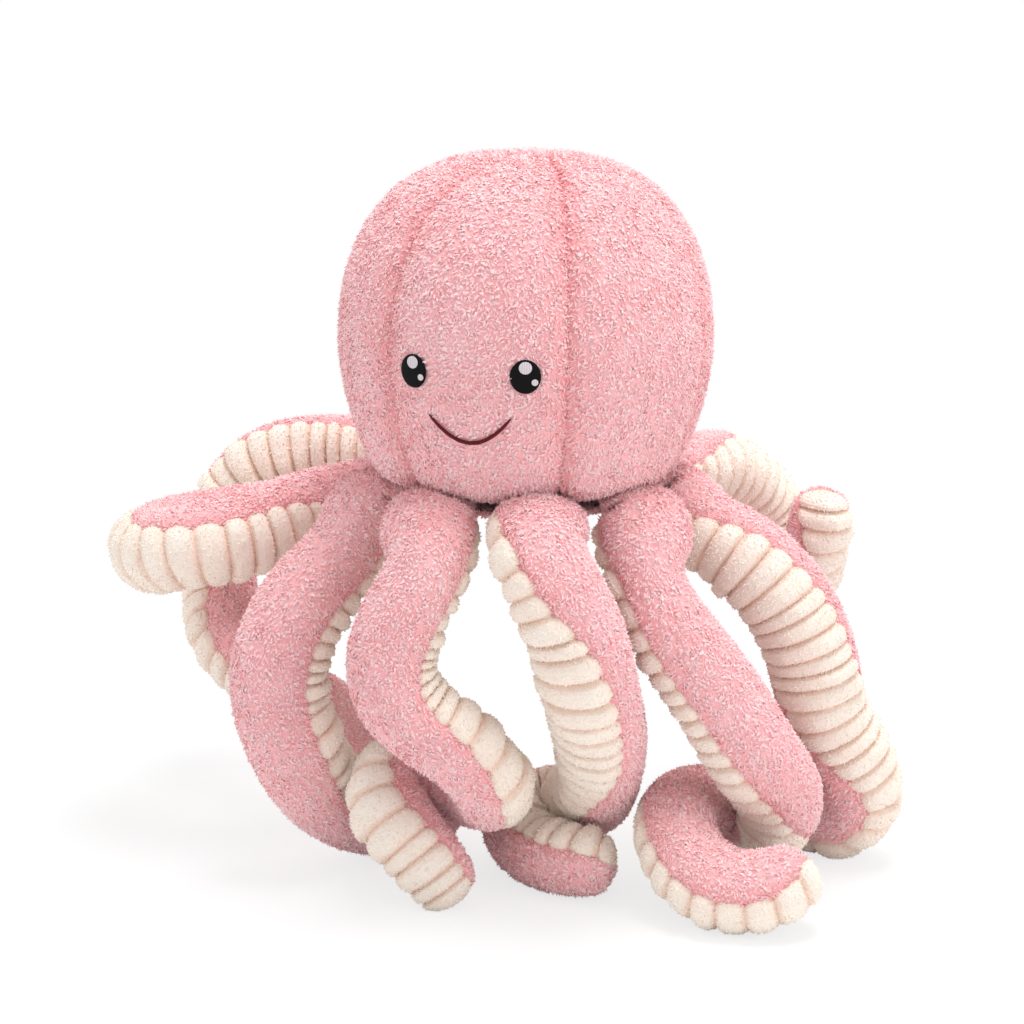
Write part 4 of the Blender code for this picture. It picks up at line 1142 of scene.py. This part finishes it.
class OCTOPUS_OT_face(bpy.types.Operator):
    """Stitches the eyes, their highlights and the smile"""
    bl_idname = "octopus.face"
    bl_label = "Face"

    def execute(self, context):
        settings = context.scene.octopus_face
        head = HeadShape()
        black = thread_material("Black thread", settings.thread_colour, 0.55)
        white = thread_material("White thread", settings.glint_colour, 0.6)
        for name, middle, size, layers in stitch_patches():
            piece = self.add_ball("stitched_" + name, 32, 12)
            ball = read_vertices(piece)
            dome = np.sign(ball[:, 2]) * np.abs(ball[:, 2]) ** 0.6
            lift = STITCH_LIFT + STITCH_SWELL * 0.6 * layers + STITCH_SWELL / 2 * dome / (1 + layers)
            write_vertices(piece, head.at_face(middle[0] + ball[:, 0] * size[0] / 2,
                                               middle[1] + ball[:, 1] * size[1] / 2, lift))
            finish_piece(piece, name, "head",
                         white if layers else black)
        self.add_smile(head, thread_material("Red thread", settings.smile_colour, 0.6))
        return {"FINISHED"}

    def add_ball(self, name, segments, rings):
        deselect()
        bpy.ops.mesh.primitive_uv_sphere_add(segments=segments, ring_count=rings, radius=1.0)
        piece = bpy.context.object
        piece.name = piece.data.name = name
        return piece

    def add_smile(self, head, material):
        piece = self.add_ball("stitched_smile", 10, 64)
        ball = read_vertices(piece)
        share = np.arcsin(np.clip(ball[:, 2], -1.0, 1.0)) / (math.pi / 2)
        round_end = np.sqrt(np.maximum(1 - ball[:, 2] ** 2, 1e-9))
        side = np.stack([ball[:, 0], ball[:, 1]], axis=1) / round_end[:, None]
        width = SMILE_LINE / 2 * (1 - np.abs(share) ** 6) ** 0.5
        across, rise = smile_line(share)
        ahead = np.stack([np.full(len(share), SMILE_WIDTH / 2), 2 * SMILE_DEPTH * share], axis=1)
        ahead /= np.linalg.norm(ahead, axis=1)[:, None]
        across = across - ahead[:, 1] * side[:, 0] * width
        rise = rise + ahead[:, 0] * side[:, 0] * width
        write_vertices(piece, head.at_face(across, rise, STITCH_LIFT + side[:, 1] * width * 0.7))
        turn_outward(piece)
        finish_piece(piece, "smile", "head", material)


class OCTOPUS_OT_base(bpy.types.Operator):
    """Cuts the round panel that closes the head underneath"""
    bl_idname = "octopus.base"
    bl_label = "Base panel"

    def execute(self, context):
        settings = context.scene.octopus_plush
        low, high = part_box("base_panel")
        radius = (high.x - low.x) / 2
        middle = (low + high) / 2
        deselect()
        bpy.ops.mesh.primitive_cylinder_add(vertices=64, radius=radius, depth=BASE_WALL, end_fill_type="NGON",
                                            location=(middle.x, middle.y, high.z - BASE_WALL / 2))
        piece = context.object
        piece.name = piece.data.name = "sewn_base_panel"
        bpy.ops.object.mode_set(mode="EDIT")
        bpy.ops.mesh.select_all(action="DESELECT")
        bpy.ops.object.mode_set(mode="OBJECT")
        for face in piece.data.polygons:
            face.select = abs(face.normal.z) > 0.5
        bpy.ops.object.mode_set(mode="EDIT")
        for share in BASE_RINGS:
            bpy.ops.mesh.inset(thickness=radius * share, depth=0.0)
            bpy.ops.transform.translate(value=(0.0, 0.0, -BASE_SAG * share / sum(BASE_RINGS)))
        bpy.ops.object.mode_set(mode="OBJECT")
        rim = piece.modifiers.new("Soft rim", "BEVEL")
        rim.width = BASE_WALL * 0.3
        rim.segments = 2
        apply_modifier(piece, rim)
        bpy.ops.object.transform_apply(location=True, rotation=True, scale=True)
        self.fringe(piece, settings, middle, radius)
        finish_piece(piece, "base_panel", "head", plush_material(settings), smooth=False)
        return {"FINISHED"}

    def fringe(self, piece, settings, middle, radius):
        """Grows the pile round the panel's rim, where it is caught in the seam."""
        places = read_vertices(piece)
        across = np.hypot(places[:, 0] - middle.x, places[:, 1] - middle.y)
        outward = (places - np.array(middle)) * (1.0, 1.0, 0.0)
        write_attribute(piece, "nap", unit(outward + (0.0, 0.0, -1e-3)))
        write_attribute(piece, "pile", (across > radius * BASE_PILE_SHARE).astype(float))
        write_attribute(piece, "relief", np.full(len(places), FRINGE_SHADE_LEVEL))
        write_attribute(piece, INNER_WALL, np.zeros(len(places)))
        piece.data.uv_layers[0].name = BAKE_MAP
        tufts = model_tufts(settings)
        grow_pile(piece, settings, tufts, seed=501)
        remove(tufts)


class OCTOPUS_OT_arms(bpy.types.Operator):
    """Sews the plush panels of the eight arms"""
    bl_idname = "octopus.arms"
    bl_label = "Arms"

    def execute(self, context):
        settings = context.scene.octopus_plush
        material = plush_material(settings)
        tufts = model_tufts(settings)
        for number, name in enumerate(ARM_ROUTES):
            arm = ArmShape(name)
            places = np.linspace(arm.start, arm.end, int(arm.length / ARM_ROW))
            turns = np.linspace(RIB_EDGE - EDGE_TUCK, 360 - RIB_EDGE + EDGE_TUCK, ARM_COLUMNS)
            lift = np.full((len(places), len(turns)), -SKIN_SINK)
            lift[:, (0, -1)] -= EDGE_DIP
            lift[:, (1, -2)] -= EDGE_DIP * 0.25
            points = arm.surface(places, turns, lift)
            points[..., 2] = np.maximum(points[..., 2], FLOOR_ROOM * 2)
            # Painted shade: the pile darkens toward the panel's seams with the ribs.
            piece = sew_skin("skin_" + name, points, ways_along(points, 0),
                             painted_seam_shade(len(places), ARM_COLUMNS, 2 * SEAM_SHARPNESS))
            grow_pile(piece, settings, tufts, seed=101 + 10 * number)
            finish_piece(piece, "arm_%s_plush" % name, "arm_" + name, material,
                         smooth=False, root=arm.root)
        remove(tufts)
        return {"FINISHED"}


class OCTOPUS_OT_ribs(bpy.types.Operator):
    """Sews the ribbed undersides of the eight arms"""
    bl_idname = "octopus.ribs"
    bl_label = "Ribbed undersides"

    def execute(self, context):
        settings = context.scene.octopus_ribs
        material = rib_material(settings)
        tufts = model_tufts(settings, "fuzz", FUZZ_SHAPES)
        for number, name in enumerate(ARM_ROUTES):
            arm = ArmShape(name)
            points, crest = self.ribbed_panel(arm, settings, np.random.default_rng(number + 5))
            # Painted shade: the ribs' crests are lighter and their creases darker.
            piece = sew_skin("ribs_" + name, points, ways_along(points, 1), CREST_SHADE * crest ** 0.6)
            grow_pile(piece, settings, tufts, seed=301 + 10 * number)
            finish_piece(piece, "arm_%s_ribs" % name, "arm_" + name, material,
                         smooth=False, root=arm.root)
        remove(tufts)
        return {"FINISHED"}

    def ribbed_panel(self, arm, settings, chances):
        """Points over a ribbed panel, and how high on a crest each lies. No two ribs are quite alike."""
        start = RIBS_START_SHARE * ARM_THICKNESS
        count = max(3, round((arm.end - start) / settings.pitch))
        widths = 1 + chances.uniform(-RIB_UNEVEN, RIB_UNEVEN, count)
        creases = start + np.concatenate([[0.0], np.cumsum(widths / widths.sum())]) * (arm.end - start)
        creases = np.concatenate([[arm.start], creases])
        swells = np.concatenate([[FIRST_SWELL], 1 + chances.uniform(-RIB_UNEVEN, RIB_UNEVEN, count)])
        dents = chances.uniform(-RIB_DENTS, RIB_DENTS, (count + 1, RIB_COLUMNS // 3))
        places = np.concatenate([np.linspace(a, b, RIB_ROWS + 1)[:-1] for a, b in zip(creases, creases[1:])]
                                + [[creases[-1]]])
        rib = np.clip(np.searchsorted(creases, places, "right") - 1, 0, count)
        phase = (places - creases[rib]) / (creases[rib + 1] - creases[rib])
        bulge = ((1 - np.abs(2 * phase - 1) ** CREST_POWERS[0]) ** CREST_POWERS[1])[:, None]
        turns = np.linspace(-RIB_EDGE - RIB_TUCK, RIB_EDGE + RIB_TUCK, RIB_COLUMNS)
        ends = RIB_EDGE + RIB_END[0] + RIB_END[1] * bulge
        edge = 1 - (np.abs(turns)[None] / ends) ** RIB_END_SHARPNESS
        dented = np.linspace(turns[0], turns[-1], dents.shape[1])
        lumps = np.array([np.interp(turns, dented, dents[k]) for k in rib])
        swell = settings.puff * (swells[rib][:, None] + lumps) * bulge * np.clip(edge, 0.0, 1.0) ** 0.6
        tuck = RIB_EDGE_DIP * np.clip(-edge, 0.0, 1.0)
        points = arm.surface(places, turns, -CREASE_DEPTH + swell - tuck)
        points[..., 2] = np.maximum(points[..., 2], FLOOR_ROOM)
        return points, bulge * np.clip(edge, 0.0, 1.0) ** 0.5


class OCTOPUS_OT_filling(bpy.types.Operator):
    """Stuffs the head and the arms"""
    bl_idname = "octopus.filling"
    bl_label = "Filling"

    def execute(self, context):
        material = filling_material()
        head = HeadShape()
        shares = np.linspace(0.0, 1.0, FILLING_ROWS)[:, None]
        turns = np.linspace(0.0, math.tau, 12 * GORE_COUNT + 1)[None, :]
        across = 2 * (turns * GORE_COUNT / math.tau + 0.5) % 2 - 1
        twist = SEAM_TWIST * shares ** SEAM_TWIST_POWER
        lift = -FILLING_INSET - head.seam_dip(across, shares)
        points = head.surface(turns + twist, shares + 0 * turns, lift)
        self.stuff("head_filling", points, "head_stuffing", "head", material)
        for name in ARM_ROUTES:
            arm = ArmShape(name)
            places = np.linspace(0.0, arm.length - FILLING_INSET, int(arm.length / FILLING_ROW))
            turns = np.linspace(0.0, 360.0, FILLING_COLUMNS)
            points = arm.surface(places, turns, np.full((len(places), FILLING_COLUMNS), -FILLING_INSET))
            self.stuff("filling_" + name, points, "arm_%s_stuffing" % name, "arm_" + name, material,
                       arm.root)
        return {"FINISHED"}

    def stuff(self, name, points, node, body, material, root=None):
        """Closes a tube of points at its seam and its two ends into one filling."""
        piece = lay_grid(name, points)[0]
        activate(piece)
        bpy.ops.object.mode_set(mode="EDIT")
        bpy.ops.mesh.select_all(action="SELECT")
        bpy.ops.mesh.remove_doubles(threshold=1e-5)
        bpy.ops.mesh.select_all(action="DESELECT")
        bpy.ops.mesh.select_non_manifold()
        bpy.ops.mesh.edge_face_add()
        bpy.ops.mesh.select_all(action="SELECT")
        bpy.ops.mesh.normals_make_consistent(inside=False)
        bpy.ops.object.mode_set(mode="OBJECT")
        finish_piece(piece, node, body, material, root=root)


class OCTOPUS_OT_stage(bpy.types.Operator):
    """Sets up the pale floor, the soft lamps and the camera"""
    bl_idname = "octopus.stage"
    bl_label = "Stage"

    def execute(self, context):
        settings = context.scene.octopus_stage
        self.add_floor()
        self.add_sky(context, settings)
        low, high = CAD_BOX
        middle = Vector(((low[0] + high[0]) / 2, (low[1] + high[1]) / 2, LAMP_AIM))
        for name, place, size, share in LAMPS:
            bpy.ops.object.light_add(type="AREA", location=place)
            lamp = context.object
            lamp.name = name
            lamp.data.energy = settings.lamp_power * share
            lamp.data.shape = "DISK"
            lamp.data.size = size
            lamp.rotation_euler = (middle - Vector(place)).to_track_quat("-Z", "Y").to_euler()
        self.add_camera(context)
        return {"FINISHED"}

    def add_floor(self):
        deselect()
        bpy.ops.mesh.primitive_plane_add(size=80.0, location=(0.0, 0.0, 0.0))
        floor = bpy.context.object
        floor.name = "floor"
        material, tree, shader = new_material("Pale floor")
        shader.inputs["Base Color"].default_value = (0.93, 0.93, 0.93, 1.0)
        shader.inputs["Roughness"].default_value = 0.9
        shader.inputs["Specular IOR Level"].default_value = 0.1
        glow = add_node(tree, "ShaderNodeEmission", {"Color": (1.0, 1.0, 1.0, 1.0), "Strength": 1.0})
        away = add_node(tree, "ShaderNodeVectorMath", {
            0: object_place(tree)}, operation="LENGTH").outputs["Value"]
        bare = maths(tree, "MULTIPLY_ADD", away, GLOW_RISE, GLOW_START, clamp=True)
        bare = maths(tree, "MAXIMUM", bare, FLOOR_GLOW)
        seen = maths(tree, "MULTIPLY", self.seen_directly(tree), bare)
        mixed = add_node(tree, "ShaderNodeMixShader", {0: seen, 1: shader.outputs[0], 2: glow.outputs[0]})
        tree.links.new(mixed.outputs[0], tree.nodes["Material Output"].inputs["Surface"])
        floor.data.materials.append(material)

    def seen_directly(self, tree):
        """1 for light paths that show the background itself: straight, mirrored or through glass."""
        path = add_node(tree, "ShaderNodeLightPath").outputs
        shown = maths(tree, "MAXIMUM", path["Is Camera Ray"], path["Is Glossy Ray"])
        return maths(tree, "MAXIMUM", shown, path["Is Transmission Ray"])

    def add_sky(self, context, settings):
        world = context.scene.world or bpy.data.worlds.new("Studio")
        context.scene.world = world
        world.use_nodes = True
        tree = world.node_tree
        tree.nodes.clear()
        plain, white = (
            add_node(tree, "ShaderNodeBackground", {
                "Color": (1.0, 1.0, 1.0, 1.0), "Strength": strength}).outputs[0]
            for strength in (settings.sky, 1.0))
        mixed = add_node(tree, "ShaderNodeMixShader", {0: self.seen_directly(tree), 1: plain, 2: white})
        add_node(tree, "ShaderNodeOutputWorld", {0: mixed.outputs[0]})

    def add_camera(self, context):
        across = np.array((math.cos(VIEW_TURN), math.sin(VIEW_TURN), 0.0))
        level = np.array((-math.sin(VIEW_TURN), math.cos(VIEW_TURN), 0.0))
        ahead = level * math.cos(VIEW_DIP) - np.array((0.0, 0.0, math.sin(VIEW_DIP)))
        up = np.cross(across, ahead)
        head = HeadShape()
        aim = head.middle + np.array((0.0, 0.0, head.seam + HEAD_AIM))
        place = aim - ahead * VIEW_DISTANCE - across * VIEW_SHIFT[0] - up * VIEW_SHIFT[1]
        bpy.ops.object.camera_add(location=place)
        camera = context.object
        camera.data.lens = 90.0
        camera.data.sensor_width = 36.0
        matrix = Matrix((across, up, -ahead)).transposed().to_4x4()
        matrix.translation = Vector(place)
        camera.matrix_world = matrix
        context.scene.camera = camera
        context.scene.view_settings.view_transform = "Standard"


class OCTOPUS_PT_panel(bpy.types.Panel):
    """Lists the toy's pieces and what can be changed about them"""
    bl_idname = "OCTOPUS_PT_panel"
    bl_label = "Plush Octopus"
    bl_space_type = "VIEW_3D"
    bl_region_type = "UI"
    bl_category = "Octopus"

    def draw(self, context):
        for operator in OPERATORS:
            self.layout.operator(operator.bl_idname)
        for name, settings in SETTINGS.items():
            box = self.layout.box()
            for key in settings.__annotations__:
                box.prop(getattr(context.scene, name), key)


SETTINGS = {
    "octopus_plush": PlushSettings,
    "octopus_ribs": RibSettings,
    "octopus_face": FaceSettings,
    "octopus_stage": StageSettings,
}
OPERATORS = (
    OCTOPUS_OT_head, OCTOPUS_OT_face, OCTOPUS_OT_base, OCTOPUS_OT_arms, OCTOPUS_OT_ribs, OCTOPUS_OT_filling,
    OCTOPUS_OT_stage,
)


def register():
    for kind in (*SETTINGS.values(), *OPERATORS, OCTOPUS_PT_panel):
        bpy.utils.register_class(kind)
    for name, settings in SETTINGS.items():
        setattr(bpy.types.Scene, name, PointerProperty(type=settings))


def unregister():
    for name in SETTINGS:
        delattr(bpy.types.Scene, name)
    for kind in (OCTOPUS_PT_panel, *reversed(OPERATORS), *SETTINGS.values()):
        bpy.utils.unregister_class(kind)


def main():
    register()
    bpy.ops.octopus.head()
    bpy.ops.octopus.face()
    bpy.ops.octopus.base()
    bpy.ops.octopus.arms()
    bpy.ops.octopus.ribs()
    bpy.ops.octopus.filling()
    bpy.ops.octopus.stage()


if __name__ == "__main__":
    main()
